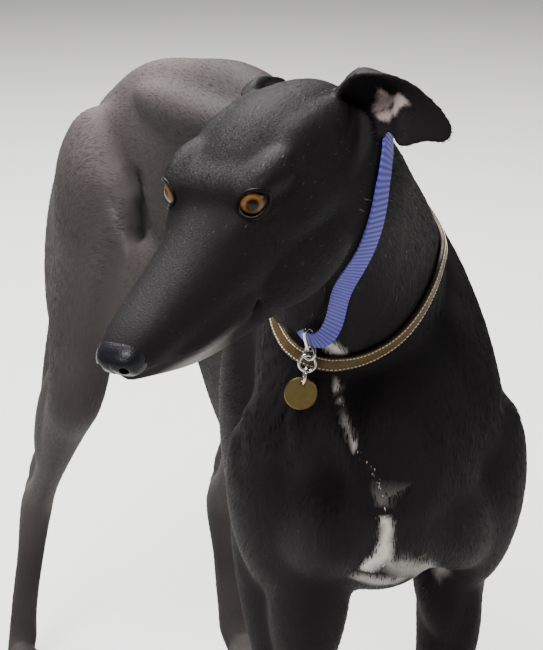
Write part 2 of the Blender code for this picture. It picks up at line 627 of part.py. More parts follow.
def paw_frame(name, fore):
    leg = (FORELEGS if fore else HINDLEGS)[name]
    turn = Matrix.Rotation(math.radians(leg["turn"]), 4, "Z")
    return Matrix.Translation((*leg["paw"], 0.0)) @ turn @ Matrix.Scale(1.0 if fore else HINDPAW_SIZE, 4)


def toe_tip(lane, reach):
    return Vector((lane * (TOE_STEP + TOE_LEAN), -0.036 - reach, 0.0115))


def paw_flesh(bm, name, fore):
    """One foot with four arched toes, their pads and the large pad behind them."""
    rows = foreleg_rows(name) if fore else hindleg_rows(name)
    tube(bm, [row for row in rows if row[2] < 0.13], sides=24, count=24)
    frame = paw_frame(name, fore)
    spindle(bm, (0, 0.012, 0.040), (0, -0.018, 0.014), 0.018, 0.013, frame=frame)
    spindle(bm, (-0.012, 0.004, 0.008), (0.012, 0.004, 0.008), 0.010, 0.009, side=(0, 1, 0), frame=frame)
    for lane, reach in TOES:
        x = lane * TOE_STEP
        knuckle = Vector((x * 0.92, -0.016 - reach, 0.026))
        tip = toe_tip(lane, reach)
        spindle(bm, (x * 0.7, 0.008, 0.030), knuckle + Vector((0, -0.006, 0.000)), 0.0075, 0.0085, frame=frame)
        spindle(bm, knuckle + Vector((0, 0.007, 0.003)), tip + Vector((0, -0.004, -0.002)), 0.0072, 0.0088,
                frame=frame)
        spindle(bm, tip + Vector((0, 0.010, -0.0065)), tip + Vector((0, -0.006, -0.0065)), 0.0062, 0.0060,
                frame=frame)


def claws_flesh(bm, name, fore, facets=18):
    for lane, reach in TOES:
        tip = toe_tip(lane, reach)
        spindle(bm, tip + Vector((0, 0, 0.002)), tip + Vector((lane * TOE_LEAN / 2, -0.0165, -0.0045)), 0.0022,
                0.0029, frame=paw_frame(name, fore), facets=facets)


def make_paw(name, fore):
    node = ("forepaw_" if fore else "hindpaw_") + name
    bm = bmesh.new()
    paw_flesh(bm, name, fore)
    claws_flesh(bm, name, fore)
    paw = fused(node, bm, PAW_VOXEL, 3, even_weight)
    thinned(paw, PAW_TRIANGLES)
    slice_off(paw, (0, 0, PAW_CUT), (0, 0, 1))
    slice_off(paw, (0, 0, -GAP / 2), (0, 0, -1))
    return paw


def ear(name, rows, frame, steps=EAR_STEPS):
    """A curved, cupped sheet of flesh through rows of places."""
    rows = np.array(rows, float) / 1000.0
    long_steps, cross_steps = steps
    fine = np.stack([smooth_rows(row, cross_steps + 1) for row in rows])
    grid = np.stack([smooth_rows(fine[:, i], long_steps + 1) for i in range(cross_steps + 1)], axis=1)
    bm = bmesh.new()
    made = bmesh.ops.create_grid(bm, x_segments=long_steps, y_segments=cross_steps, size=0.5)
    for vert in made["verts"]:
        i = round((vert.co.x + 0.5) * long_steps)
        j = round((vert.co.y + 0.5) * cross_steps)
        vert.co = frame @ Vector(grid[i, j])
    obj = shown(name, bm)
    thick = obj.modifiers.new("thick", "SOLIDIFY")
    thick.thickness = EAR_THICKNESS
    thick.offset = 0.0
    apply_modifiers(obj)
    return obj


def closed_line(points, count):
    """A smooth closed line through places, at even steps."""
    points = np.asarray(points, float)
    again = np.concatenate([points[-3:], points, points[:3]])
    steps = np.linalg.norm(np.diff(again, axis=0), axis=1)
    line = smooth_rows(again, 2000)
    at = np.concatenate([[0.0], np.cumsum(steps)])
    share = np.linspace(0.0, at[-1], 2000)
    inside = (share >= at[3]) & (share < at[-3])
    line = line[inside]
    pick = np.linspace(0, len(line), count, endpoint=False).astype(int)
    return line[pick]


def skin_tree(objects):
    """One tree of the faces of some objects, to find the skin nearest to a place."""
    places = []
    faces = []
    for obj in objects:
        start = len(places)
        places += [vert.co.copy() for vert in obj.data.vertices]
        faces += [[start + i for i in face.vertices] for face in obj.data.polygons]
    return BVHTree.FromPolygons(places, faces)


def strap(name, points, width, thickness, skin, slack=0.0, slack_at=None, steps=STRAP_STEPS, marks=False):
    """A flat band that lies on the neck along a closed line; it hangs off by slack at one place."""
    line = [Vector(place) for place in closed_line(points, steps)]
    count = len(line)
    step_length = sum((line[i] - line[i - 1]).length for i in range(count)) / count
    found = [skin.find_nearest(place) for place in line]
    spots = [item[0] for item in found]
    outward = [item[1] for item in found]
    for _ in range(round(8 * (steps / STRAP_STEPS) ** 2)):
        spots = [(spots[i - 1] + spots[i] * 2 + spots[(i + 1) % count]) / 4 for i in range(count)]
        outward = [(outward[i - 1] + outward[i] * 2 + outward[(i + 1) % count]).normalized()
                   for i in range(count)]
    across = []
    for i in range(count):
        along = (spots[(i + 1) % count] - spots[i - 1]).normalized()
        across.append(along.cross(outward[i]).normalized())
        outward[i] = across[i].cross(along).normalized()
    heights = []
    for i in range(count):
        row = []
        for share in (-0.5, -0.25, 0.0, 0.25, 0.5):
            place = spots[i] + across[i] * width * share
            ground = skin.find_nearest(place)[0]
            row.append((ground - place).dot(outward[i]))
        heights.append(max(row))
    reach = max(1, round(steps / STRAP_STEPS))
    height = [max(heights[(i + step) % count] for step in range(-reach, reach + 1)) for i in range(count)]
    bm = bmesh.new()
    if marks:
        along_mark, across_mark = (bm.verts.layers.float.new(mark) for mark in ("along", "across"))
    made = bmesh.ops.create_cone(bm, cap_ends=False, segments=count, radius1=1, radius2=1, depth=1)
    for vert in made["verts"]:
        i = round(math.atan2(vert.co.y, vert.co.x) / math.tau * count) % count
        share = 0.5 if vert.co.z > 0 else -0.5
        if marks:
            vert[along_mark] = i * step_length
            vert[across_mark] = share * width
        loose = slack * math.exp(-((spots[i] - slack_at).length / SLACK_REACH) ** 2) if slack_at else 0.0
        rise = height[i] + STRAP_CLEARANCE + thickness / 2 + loose
        vert.co = spots[i] + across[i] * width * share + outward[i] * rise
    obj = shown(name, bm)
    thick = obj.modifiers.new("thick", "SOLIDIFY")
    thick.thickness = thickness
    thick.offset = 0.0
    thick.use_even_offset = True
    apply_modifiers(obj)
    nearest = min(range(count), key=lambda i: (spots[i] - slack_at).length) if slack_at else 0
    loose = slack + height[nearest] + STRAP_CLEARANCE + thickness / 2
    hanger = (spots[nearest] + outward[nearest] * loose, across[nearest], outward[nearest])
    return obj, hanger


def ring(name, centre, across, up, across_radius, up_radius, wire, square=1.0, steps=(20, 6)):
    """A closed ring of round wire, wider or taller as asked."""
    across = Vector(across).normalized()
    up = (Vector(up) - across * Vector(up).dot(across)).normalized()
    out = across.cross(up)
    bm = bmesh.new()
    made = bmesh.ops.create_grid(bm, x_segments=steps[0], y_segments=steps[1], size=0.5)
    for vert in made["verts"]:
        turn = (vert.co.x + 0.5) * math.tau
        roll = (vert.co.y + 0.5) * math.tau
        c, s = (math.copysign(abs(value) ** square, value) for value in (math.cos(turn), math.sin(turn)))
        rim = across * math.cos(turn) + up * math.sin(turn)
        line = across * c * across_radius + up * s * up_radius
        vert.co = Vector(centre) + line + (rim * math.cos(roll) + out * math.sin(roll)) * wire
    bmesh.ops.remove_doubles(bm, verts=bm.verts[:], dist=MERGE)
    bmesh.ops.recalc_face_normals(bm, faces=bm.faces[:])
    return shown(name, bm)


def disc(name, centre, face, up, radius, thickness, hole_drop, hole_radius):
    """A round tag with a softly turned edge and a hole near its top."""
    face = Vector(face).normalized()
    up = (Vector(up) - face * Vector(up).dot(face)).normalized()
    side = up.cross(face)
    turn = Matrix((side, up, face)).transposed().to_4x4()
    turn.translation = Vector(centre)
    bm = bmesh.new()
    bmesh.ops.create_cone(bm, cap_ends=True, segments=28, radius1=radius, radius2=radius, depth=thickness)
    bmesh.ops.transform(bm, matrix=turn, verts=bm.verts[:])
    obj = shown(name, bm)
    edge = obj.modifiers.new("edge", "BEVEL")
    edge.width = thickness * 0.3
    edge.segments = 1
    apply_modifiers(obj)
    bm = bmesh.new()
    bmesh.ops.create_cone(bm, cap_ends=True, segments=10, radius1=hole_radius, radius2=hole_radius,
                          depth=thickness * 3)
    bmesh.ops.transform(bm, matrix=turn @ Matrix.Translation((0, hole_drop, 0)), verts=bm.verts[:])
    combine(obj, shown("cutter", bm), "DIFFERENCE")
    return obj


def eye_frame(sign):
    """From the eye's own frame, x across, y up, z out of the eye, to the world."""
    place = Vector((EYE_PLACE.x * sign, EYE_PLACE.y, EYE_PLACE.z))
    look = Vector((EYE_LOOK.x * sign, EYE_LOOK.y, EYE_LOOK.z))
    across = Vector((0, 0, 1)).cross(look).normalized()
    turn = Matrix((across, look.cross(across), look)).transposed().to_4x4()
    turn.translation = place
    return head_frame() @ turn


def ball(bm, radius, frame, segments=18, rings=12):
    made = bmesh.ops.create_uvsphere(bm, u_segments=segments, v_segments=rings, radius=radius)
    bmesh.ops.transform(bm, matrix=frame, verts=made["verts"])


def add_eyes(head):
    """Lids round each eye, the opening between them, and the eyeball in its socket."""
    for sign, name in ((-1, "eye_right"), (1, "eye_left")):
        frame = eye_frame(sign)
        bm = bmesh.new()
        ball(bm, LID_RADIUS, frame)
        combine(head, shown("lids", bm), "UNION")
        bm = bmesh.new()
        made = bmesh.ops.create_uvsphere(bm, u_segments=18, v_segments=8, radius=1.0)
        wide, tall, deep = EYE_OPENING
        for vert in made["verts"]:
            narrow = 1.0 - 0.25 * vert.co.x ** 2
            vert.co = Vector((vert.co.x * wide + EYE_SHIFT * sign, vert.co.y * tall * narrow,
                              vert.co.z * deep + EYE_RADIUS))
        bmesh.ops.transform(bm, matrix=frame, verts=made["verts"])
        combine(head, shown("cutter", bm), "DIFFERENCE")
        bm = bmesh.new()
        ball(bm, EYE_RADIUS + GAP, frame)
        combine(head, shown("cutter", bm), "DIFFERENCE")
        bm = bmesh.new()
        ball(bm, EYE_RADIUS, frame)
        shown(name, bm)


def add_nose(head):
    """The nose pad in its own bed, with two nostrils that curl out to the sides."""
    frame = head_frame()
    rows = [(0, y, (top + low) / 2, half, (top - low) / 2, (top - low) / 2, 2.4) for y, top, low, half in NOSE]
    bm = bmesh.new()
    tube(bm, rows, sides=16, count=9, frame=frame)
    nose = shown("nose_pad", bm)
    combine(head, grown(nose, "cutter"), "DIFFERENCE")
    for sign in (-1, 1):
        x, y, z = NOSTRIL_PLACE
        bm = bmesh.new()
        spindle(bm, (x * sign, y - 0.004, z), (x * sign * 1.15, y + 0.0075, z + 0.0015), 0.0030, 0.0036,
                frame=frame, facets=10)
        combine(nose, shown("cutter", bm), "DIFFERENCE")
        bm = bmesh.new()
        spindle(bm, (x * sign * 1.05, y + 0.002, z - 0.001), (x * sign * 2.25, y + 0.0115, z + 0.0020), 0.0014,
                0.0022, side=(0, 1, 0), frame=frame, facets=8)
        combine(nose, shown("cutter", bm), "DIFFERENCE")


def add_mouth(head):
    """A fine groove along the lips, from under the nose to the corners of the mouth."""
    frame = head_frame()
    back = frame.inverted()
    skin = skin_tree([head])
    line = []
    for y, z in LIP_LINE:
        start = frame @ Vector((0.06, y, z))
        toward = (frame.to_3x3() @ Vector((-1, 0, 0))).normalized()
        spot = back @ skin.ray_cast(start, toward)[0]
        line.append(Vector((spot.x, spot.y, spot.z)))
    front = frame @ Vector((0, -0.03, LIP_LINE[0][1]))
    toward = (frame.to_3x3() @ Vector((0, 1, 0))).normalized()
    middle = back @ skin.ray_cast(front, toward)[0]
    rows = [(-p.x, p.y, p.z) for p in line[::-1]] + [tuple(middle)] + [tuple(p) for p in line]
    rows = [(*row, LIP_GROOVE, LIP_GROOVE, LIP_GROOVE) for row in rows]
    bm = bmesh.new()
    tube(bm, rows, side=(0, 0, 1), sides=8, count=44, frame=frame)
    combine(head, shown("cutter", bm), "DIFFERENCE")


def add_ears(head, neck):
    left = Matrix.Translation(head_frame() @ LEFT_EAR_ROOT) @ Matrix.Rotation(LEFT_EAR_TURN, 4, "Z")
    for name, rows, frame in (("ear_left", LEFT_EAR, left), ("ear_right", RIGHT_EAR, head_frame())):
        made = ear(name, rows, frame)
        even = made.modifiers.new("even", "REMESH")
        even.mode = "VOXEL"
        even.voxel_size = EAR_VOXEL
        apply_modifiers(made)
        thinned(made, EAR_TRIANGLES)
        for skin in (head, neck):
            combine(made, grown(skin, "cutter"), "DIFFERENCE")
        keep_largest(made)


def add_tag(band, across, out, steps=(20, 6)):
    """A keeper ring round the blue collar, then a link, two rings and a round blank tag."""
    touch = WIRE * 2 + GAP * 2
    low_side = across if across.z < 0 else -across
    keeper = band + low_side * KEEPER_SHIFT
    ring("keeper_ring", keeper, across, out, KEEPER_LENGTH, KEEPER_DEPTH, WIRE, square=0.5, steps=steps)
    top = keeper + low_side * (KEEPER_LENGTH - touch)
    sides = (across.cross(out), DROP.cross(FACING), FACING)
    for name, radius, side in zip(("tag_link", "tag_ring_upper", "tag_ring_lower"), RING_RADII, sides):
        middle = top + DROP * radius
        ring(name, middle, DROP, side, radius, radius, WIRE, steps=steps)
        top = middle + DROP * (radius - touch)
    hole = top + DROP * (touch + WIRE + GAP - TAG_HOLE_RADIUS)
    disc("tag", hole + DROP * TAG_HOLE_DROP, FACING, -DROP, TAG_RADIUS, TAG_THICKNESS, TAG_HOLE_DROP,
         TAG_HOLE_RADIUS)


def finish_all():
    """Smooth shading, one material for each part, and the whole dog centred over its origin."""
    parts = [obj for obj in bpy.data.objects if obj.type == "MESH"]
    places = [vert.co for obj in parts for vert in obj.data.vertices]
    low = Vector([min(place[i] for place in places) for i in range(3)])
    high = Vector([max(place[i] for place in places) for i in range(3)])
    shift = Matrix.Translation((-(low.x + high.x) / 2, -(low.y + high.y) / 2, -low.z))
    for obj in parts:
        obj.data.transform(shift)
        obj.data.shade_smooth()
        obj.data.set_sharp_from_angle(angle=SHARP_ANGLE)
        colour, roughness, metallic = next(
            look for start, *look in LOOKS if obj.name.startswith(start))
        obj.data.materials.clear()
        obj.data.materials.append(finish(obj.name, colour, roughness, metallic))


def main():
    for obj in list(bpy.data.objects):
        bpy.data.objects.remove(obj, do_unlink=True)
    bm = bmesh.new()
    torso_flesh(bm)
    legs_flesh(bm)
    tube(bm, TAIL[:4], sides=20, count=20)
    torso = fused("torso", bm, BODY_VOXEL, 45, trunk_weight)
    thinned(torso, BODY_TRIANGLES)
    slice_off(torso, *COLLAR_PLANE)
    stub = Vector((-0.010, 0.412, 0.0))
    combine(torso, boxed("cutter", stub + Vector((-0.027, -0.031, 0.44)), stub + Vector((0.027, 0.06, TAIL_CUT))),
            "DIFFERENCE")
    keep_largest(torso)
    bm = bmesh.new()
    tube(bm, TAIL, sides=10, count=24)
    tail = shown("tail", bm)
    slice_off(tail, (0, 0, TAIL_CUT - GAP / 2), (0, 0, 1))

    limbs = []
    for sign, name in ((-1, "right"), (1, "left")):
        x = FORELEGS[name]["elbow"][0] - FORELEG_CUT["inset"] * sign
        limbs.append(split_leg(torso, "foreleg_" + name, x, FORELEG_CUT, sign))
        limbs.append(split_leg(torso, "hindleg_" + name, HINDLEG_CUT["x"] * sign, HINDLEG_CUT, sign))
    for limb in limbs:
        slice_off(limb, (0, 0, PAW_CUT), (0, 0, -1))
    paws = [make_paw(name, fore) for fore in (True, False) for name in ("right", "left")]

    bm = bmesh.new()
    head_flesh(bm)
    head = fused("head", bm, HEAD_VOXEL, 26, even_weight)
    thinned(head, HEAD_TRIANGLES)
    slice_off(head, COLLAR_PLANE[0], -COLLAR_PLANE[1])
    neck = duplicate(head, "neck")
    slice_off(neck, *HEAD_PLANE)
    slice_off(head, HEAD_PLANE[0], -HEAD_PLANE[1])
    add_mouth(head)
    add_nose(head)
    add_eyes(head)
    keep_largest(head)
    add_ears(head, neck)

    skin = skin_tree([head, neck, torso])
    blue, hanger = strap("collar_blue", BLUE_COLLAR, BLUE_WIDTH, BLUE_THICKNESS, skin, SLACK, SLACK_AT)
    combine(bpy.data.objects["ear_left"], grown(blue, "cutter"), "DIFFERENCE")
    keep_largest(bpy.data.objects["ear_left"])
    leather, _ = strap("collar_leather", LEATHER_COLLAR, LEATHER_WIDTH, LEATHER_THICKNESS, skin)
    for band in (blue, leather):
        for flesh in (head, neck, torso):
            combine(band, grown(flesh, "cutter"), "DIFFERENCE")
        keep_largest(band)
    add_tag(*hanger)
    finish_all()


if __name__ == "__main__":
    main()
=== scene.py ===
"""A greyhound, life size, standing and looking over its right shoulder, in a short black coat."""
import json
import math

import bmesh
import bpy
import numpy as np
from mathutils import Matrix, Vector
from mathutils.bvhtree import BVHTree

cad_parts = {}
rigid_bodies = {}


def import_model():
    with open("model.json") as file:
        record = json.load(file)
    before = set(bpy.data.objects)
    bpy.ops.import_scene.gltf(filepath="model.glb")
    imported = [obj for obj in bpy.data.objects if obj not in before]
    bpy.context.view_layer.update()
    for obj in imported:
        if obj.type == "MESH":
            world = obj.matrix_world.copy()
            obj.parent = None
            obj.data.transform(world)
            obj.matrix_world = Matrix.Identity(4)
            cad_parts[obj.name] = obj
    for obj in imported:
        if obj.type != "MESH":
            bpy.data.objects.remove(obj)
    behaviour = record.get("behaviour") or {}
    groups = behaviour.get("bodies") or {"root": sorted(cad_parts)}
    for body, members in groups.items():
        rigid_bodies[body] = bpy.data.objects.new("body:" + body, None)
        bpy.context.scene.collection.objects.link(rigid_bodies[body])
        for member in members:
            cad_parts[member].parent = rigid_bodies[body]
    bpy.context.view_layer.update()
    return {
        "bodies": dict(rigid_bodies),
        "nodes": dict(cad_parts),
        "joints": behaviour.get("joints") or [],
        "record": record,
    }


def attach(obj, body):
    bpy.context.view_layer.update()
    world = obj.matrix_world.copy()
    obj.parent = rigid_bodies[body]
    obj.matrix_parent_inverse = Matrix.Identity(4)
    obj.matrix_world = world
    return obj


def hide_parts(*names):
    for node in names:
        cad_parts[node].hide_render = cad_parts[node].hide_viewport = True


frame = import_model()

rng = np.random.default_rng(11)

# The gap between parts that nearly touch, and steps of the smoothing weight.
GAP = 0.0003
SOFT_LEVELS = 16
# Torso rows: x, y, height of the widest line, half width, rise to the back, drop to the belly.
TORSO = [
    (-0.046, -0.272, 0.512, 0.032, 0.040, 0.045),
    (-0.034, -0.245, 0.512, 0.062, 0.082, 0.090),
    (-0.019, -0.195, 0.508, 0.075, 0.130, 0.129),
    (-0.003, -0.130, 0.505, 0.078, 0.188, 0.140),
    (0.010, -0.070, 0.505, 0.077, 0.195, 0.150),
    (0.018, 0.000, 0.515, 0.075, 0.188, 0.156),
    (0.020, 0.065, 0.545, 0.068, 0.165, 0.143),
    (0.012, 0.130, 0.585, 0.060, 0.132, 0.125),
    (0.005, 0.190, 0.600, 0.052, 0.103, 0.100),
    (0.001, 0.250, 0.605, 0.047, 0.083, 0.095),
    (0.000, 0.310, 0.597, 0.040, 0.063, 0.075),
    (0.000, 0.355, 0.588, 0.032, 0.045, 0.050),
    (0.000, 0.385, 0.580, 0.014, 0.018, 0.020),
]
# Neck rows run from the skull down to the chest: x, y, z, half width, crest, throat.
NECK = [
    (-0.128, -0.318, 0.748, 0.034, 0.030, 0.038),
    (-0.104, -0.298, 0.722, 0.040, 0.038, 0.046),
    (-0.077, -0.268, 0.690, 0.043, 0.045, 0.052),
    (-0.052, -0.232, 0.655, 0.051, 0.056, 0.062),
    (-0.030, -0.190, 0.615, 0.060, 0.072, 0.082),
    (-0.011, -0.130, 0.570, 0.073, 0.092, 0.100),
    (0.000, -0.070, 0.540, 0.070, 0.090, 0.090),
]
NECK_SIDE = (0.93, -0.36, 0.0)
# The fold of the throat runs from under the jaw to here, this wide and deep.
THROAT_END = (-0.099, -0.232, 0.6045)
THROAT_SIZE = (0.020, 0.0165)
# Tail rows: x, y, z, half width, rise, drop.
TAIL = [
    (0.000, 0.330, 0.605, 0.026, 0.026, 0.028),
    (0.000, 0.376, 0.595, 0.021, 0.022, 0.022),
    (-0.008, 0.409, 0.540, 0.0165, 0.017, 0.017),
    (-0.026, 0.428, 0.460, 0.0135, 0.014, 0.014),
    (-0.042, 0.440, 0.380, 0.0115, 0.012, 0.012),
    (-0.050, 0.454, 0.300, 0.0100, 0.010, 0.010),
    (-0.047, 0.474, 0.230, 0.0085, 0.0085, 0.0085),
    (-0.041, 0.502, 0.180, 0.0070, 0.0070, 0.0070),
    (-0.036, 0.536, 0.160, 0.0050, 0.0050, 0.0050),
]
# Foreleg girths from the elbow down: height, half width, depth behind, depth in front.
FORE_GIRTHS = [
    (0.430, 0.034, 0.040, 0.038),
    (0.385, 0.033, 0.042, 0.036),
    (0.340, 0.0290, 0.037, 0.034),
    (0.300, 0.0245, 0.031, 0.029),
    (0.255, 0.0205, 0.0240, 0.0225),
    (0.205, 0.0158, 0.0178, 0.0172),
    (0.175, 0.0170, 0.0175, 0.0175),
    (0.152, 0.0190, 0.0195, 0.0185),
    (0.128, 0.0165, 0.0160, 0.0165),
    (0.095, 0.0150, 0.0145, 0.0150),
    (0.060, 0.0165, 0.0150, 0.0170),
    (0.030, 0.0150, 0.0120, 0.0150),
]
# Each leg: its joints, the turn of its paw and, in front, how stout it is.
FORELEGS = {
    "right": {"elbow": (-0.059, -0.116), "wrist": (-0.046, -0.130), "paw": (-0.046, -0.152), "turn": 14,
              "girth": 1.04, "brawn": 0.040, "front": 0.031},
    "left": {"elbow": (0.069, -0.160), "wrist": (0.050, -0.166), "paw": (0.046, -0.188), "turn": 14,
             "girth": 0.88, "brawn": 0.008, "front": 0.0},
}
HINDLEGS = {
    "right": {"hip": (-0.046, 0.280, 0.605), "stifle": (-0.077, 0.284, 0.374),
              "hock": (-0.0675, 0.456, 0.182), "paw": (-0.097, 0.432), "turn": 4},
    "left": {"hip": (0.052, 0.275, 0.605), "stifle": (0.086, 0.226, 0.378),
             "hock": (0.112, 0.382, 0.184), "paw": (0.122, 0.350), "turn": -6},
}
SIDES = ((-1, "right"), (1, "left"))
# Each foot: whether it is a forefoot, and its side.
FEET = [(fore, name) for fore in (True, False) for _, name in SIDES]
ELBOW_HEIGHT = 0.375
WRIST_HEIGHT = 0.152
# Toes from side to side: the place in steps from the middle, and how far each is held back.
TOES = [(-1.5, -0.004), (-0.5, 0.004), (0.5, 0.004), (1.5, -0.004)]
TOE_STEP = 0.0105
TOE_LEAN = 0.0018
# The size of a hind paw beside a fore paw.
HINDPAW_SIZE = 0.93
# Head frame: x to its left, y back from the nose tip, z up.
HEAD_AT = Vector((-0.2878, -0.4036, 0.6558))
HEAD_TURN = math.radians(-58)
HEAD_DROP = math.radians(19)
HEAD_TILT = math.radians(-3)
HEAD_SCALE = 0.928
# Skull and muzzle rows: distance from the nose tip, top, bottom, half width, squareness.
SKULL = [
    (0.004, 0.0176, -0.0020, 0.0150, 2.3),
    (0.018, 0.0226, -0.0060, 0.0204, 2.4),
    (0.040, 0.0272, -0.0110, 0.0238, 2.3),
    (0.060, 0.0312, -0.0150, 0.0264, 2.3),
    (0.080, 0.0356, -0.0180, 0.0288, 2.2),
    (0.100, 0.0412, -0.0200, 0.0314, 2.2),
    (0.120, 0.0485, -0.0220, 0.0340, 2.3),
    (0.140, 0.0590, -0.0230, 0.0372, 2.4),
    (0.160, 0.0682, -0.0240, 0.0400, 2.4),
    (0.180, 0.0732, -0.0260, 0.0424, 2.3),
    (0.200, 0.0722, -0.0280, 0.0438, 2.2),
    (0.220, 0.0665, -0.0300, 0.0430, 2.1),
    (0.245, 0.0545, -0.0320, 0.0395, 2.0),
    (0.268, 0.0430, -0.0220, 0.0300, 2.0),
]
# Jaw rows: distance from the nose tip, bottom, half width.
JAW = [
    (0.012, -0.0100, 0.0100),
    (0.030, -0.0190, 0.0145),
    (0.060, -0.0330, 0.0172),
    (0.090, -0.0415, 0.0200),
    (0.120, -0.0465, 0.0235),
    (0.150, -0.0510, 0.0275),
    (0.180, -0.0540, 0.0300),
    (0.205, -0.0540, 0.0300),
    (0.230, -0.0480, 0.0270),
]
# Muscles of one side of the head: from, to, half width and half depth.
HEAD_MUSCLES = [
    ((0.028, 0.116, 0.0500), (0.0325, 0.166, 0.0580), 0.0120, 0.0090),
    ((0.018, 0.092, 0.024), (0.030, 0.165, 0.036), 0.012, 0.016),
    ((0.018, 0.140, 0.047), (0.025, 0.204, 0.059), 0.019, 0.014),
    ((0.024, 0.110, -0.014), (0.032, 0.215, -0.018), 0.012, 0.030),
    ((0.031, 0.130, 0.016), (0.038, 0.220, 0.022), 0.009, 0.020),
    ((0.025, 0.150, 0.048), (0.025, 0.240, 0.044), 0.017, 0.020),
    ((0.014, 0.030, -0.004), (0.024, 0.112, -0.014), 0.008, 0.014),
]
# Nose rows: distance from the nose tip, top, bottom, half width.
NOSE = [
    (-0.0020, 0.0080, 0.0000, 0.0060),
    (0.0000, 0.0125, -0.0020, 0.0115),
    (0.0040, 0.0163, -0.0035, 0.0150),
    (0.0100, 0.0186, -0.0035, 0.0163),
    (0.0160, 0.0194, -0.0005, 0.0156),
    (0.0220, 0.0196, 0.0030, 0.0126),
    (0.0270, 0.0188, 0.0080, 0.0085),
]
# The left eye in the head's frame; its opening is wide, tall and deep, and narrows to the corners.
EYE_PLACE = Vector((0.0253, 0.1262, 0.0451))
EYE_LOOK = Vector((0.641, -0.764, 0.080)).normalized()
EYE_RADIUS = 0.0105
LID_RADIUS = 0.0121
EYE_OPENING = (0.0116, 0.0088, 0.0100)
EYE_NARROW = 0.25
EYE_SHIFT = 0.0014
IRIS = 0.0073
EYE_SPREAD = 0.0091
# How far the cornea swells, the radius of a lid's rim, and that of the tear line, least and added.
CORNEA_RISE = 0.0008
LID_RIM = 0.0011
TEAR_LINE = (0.00006, 0.00020)
# The lip line from under the nose to the corner of the mouth, seen from the side: y, z.
LIP_LINE = [(0.010, -0.0040), (0.022, -0.0078), (0.040, -0.0125), (0.062, -0.0175), (0.086, -0.0230),
            (0.109, -0.0270)]
# Half widths of the muzzle along the lip line.
LIP_WIDTHS = (0.0115, 0.0165, 0.0200, 0.0222, 0.0238, 0.0245)
LIP_DEPTH = 0.0019
# Folds of skin below and above the eye: places in the head's frame, depth and width.
EYE_FOLDS = [
    ([(0.0305, 0.1105, 0.0335), (0.0335, 0.1200, 0.0300), (0.0370, 0.1340, 0.0305),
      (0.0385, 0.1460, 0.0360)], 0.0009, 0.0013),
    ([(0.0280, 0.1080, 0.0560), (0.0330, 0.1220, 0.0590), (0.0365, 0.1380, 0.0560)], 0.0006, 0.0014),
]
# The small swellings where whiskers would grow: rows, spots in a row, height and radius.
BEDS = (4, 6)
BED_RISE = 0.00035
BED_RADIUS = 0.0011
NOSTRIL_PLACE = (0.0076, -0.0005, 0.0060)
NOSE_VOXEL = 0.0006
NOSE_GROOVE = 0.0009
# Where a finer head and finer feet join the trunk: the plane at the neck, by a point and a normal
# that points towards the head, and the height above the floor.
COLLAR_PLANE = (Vector((-0.0538, -0.2492, 0.6008)), Vector((-0.793, -0.425, 0.437)))
PAW_CUT = 0.052
# The left ear lies folded out sideways. Rows run from its root to its tip, each across from the
# front edge to the back edge, in millimetres: right in the picture's plane, back, up.
LEFT_EAR_ROOT = Vector((0.038, 0.231, 0.045))
LEFT_EAR_TURN = math.radians(-25)
LEFT_EAR = [
    [(-12, -2, 8), (-8, 12, 12), (-4, 18, 0), (-4, 10, -14), (-1, -4, -18)],
    [(-2, -6, 22), (4, 8, 24), (8, 18, 4), (8, 12, -14), (7, -2, -20)],
    [(16, -8, 24), (18, 4, 20), (20, 14, 6), (20, 10, -6), (20, 2, -12)],
    [(30, -6, 20), (30, 0, 12), (28, 2, 2), (27, -2, -8), (26, -8, -18)],
    [(44, -2, 9), (43, 0, 4), (42, 1, -2), (42, -1, -9), (42, -5, -16)],
    [(53, 0, -1), (52, 1, -4), (51, 1, -8), (51, 0, -12), (51, -3, -17)],
    [(58, 1, -10), (57.5, 1, -11), (57, 1, -12.5), (56.5, 1, -14), (56, 0, -15.5)],
]
# The right ear lies folded back over the skull: the same rows in the head's own frame.
RIGHT_EAR = [
    [(-30, 210, 49), (-29, 221, 56), (-33, 233, 49), (-41, 231, 35), (-44, 218, 27)],
    [(-37, 217, 57), (-33, 231, 60), (-37, 243, 51), (-46, 241, 38), (-50, 227, 34)],
    [(-42, 230, 57), (-39, 244, 57), (-41, 256, 47), (-48, 252, 38), (-53, 241, 38)],
    [(-45, 245, 51), (-42, 257, 50), (-44, 266, 42), (-50, 262, 35), (-54, 252, 36)],
    [(-46, 259, 43), (-44, 268, 43), (-45, 274, 39), (-49, 271, 34), (-52, 264, 35)],
    [(-46, 273, 36), (-45, 276, 35), (-45, 279, 33), (-46, 277, 31), (-47, 274, 31)],
]
EAR_THICKNESS = 0.0026
EAR_STEPS = (44, 30)
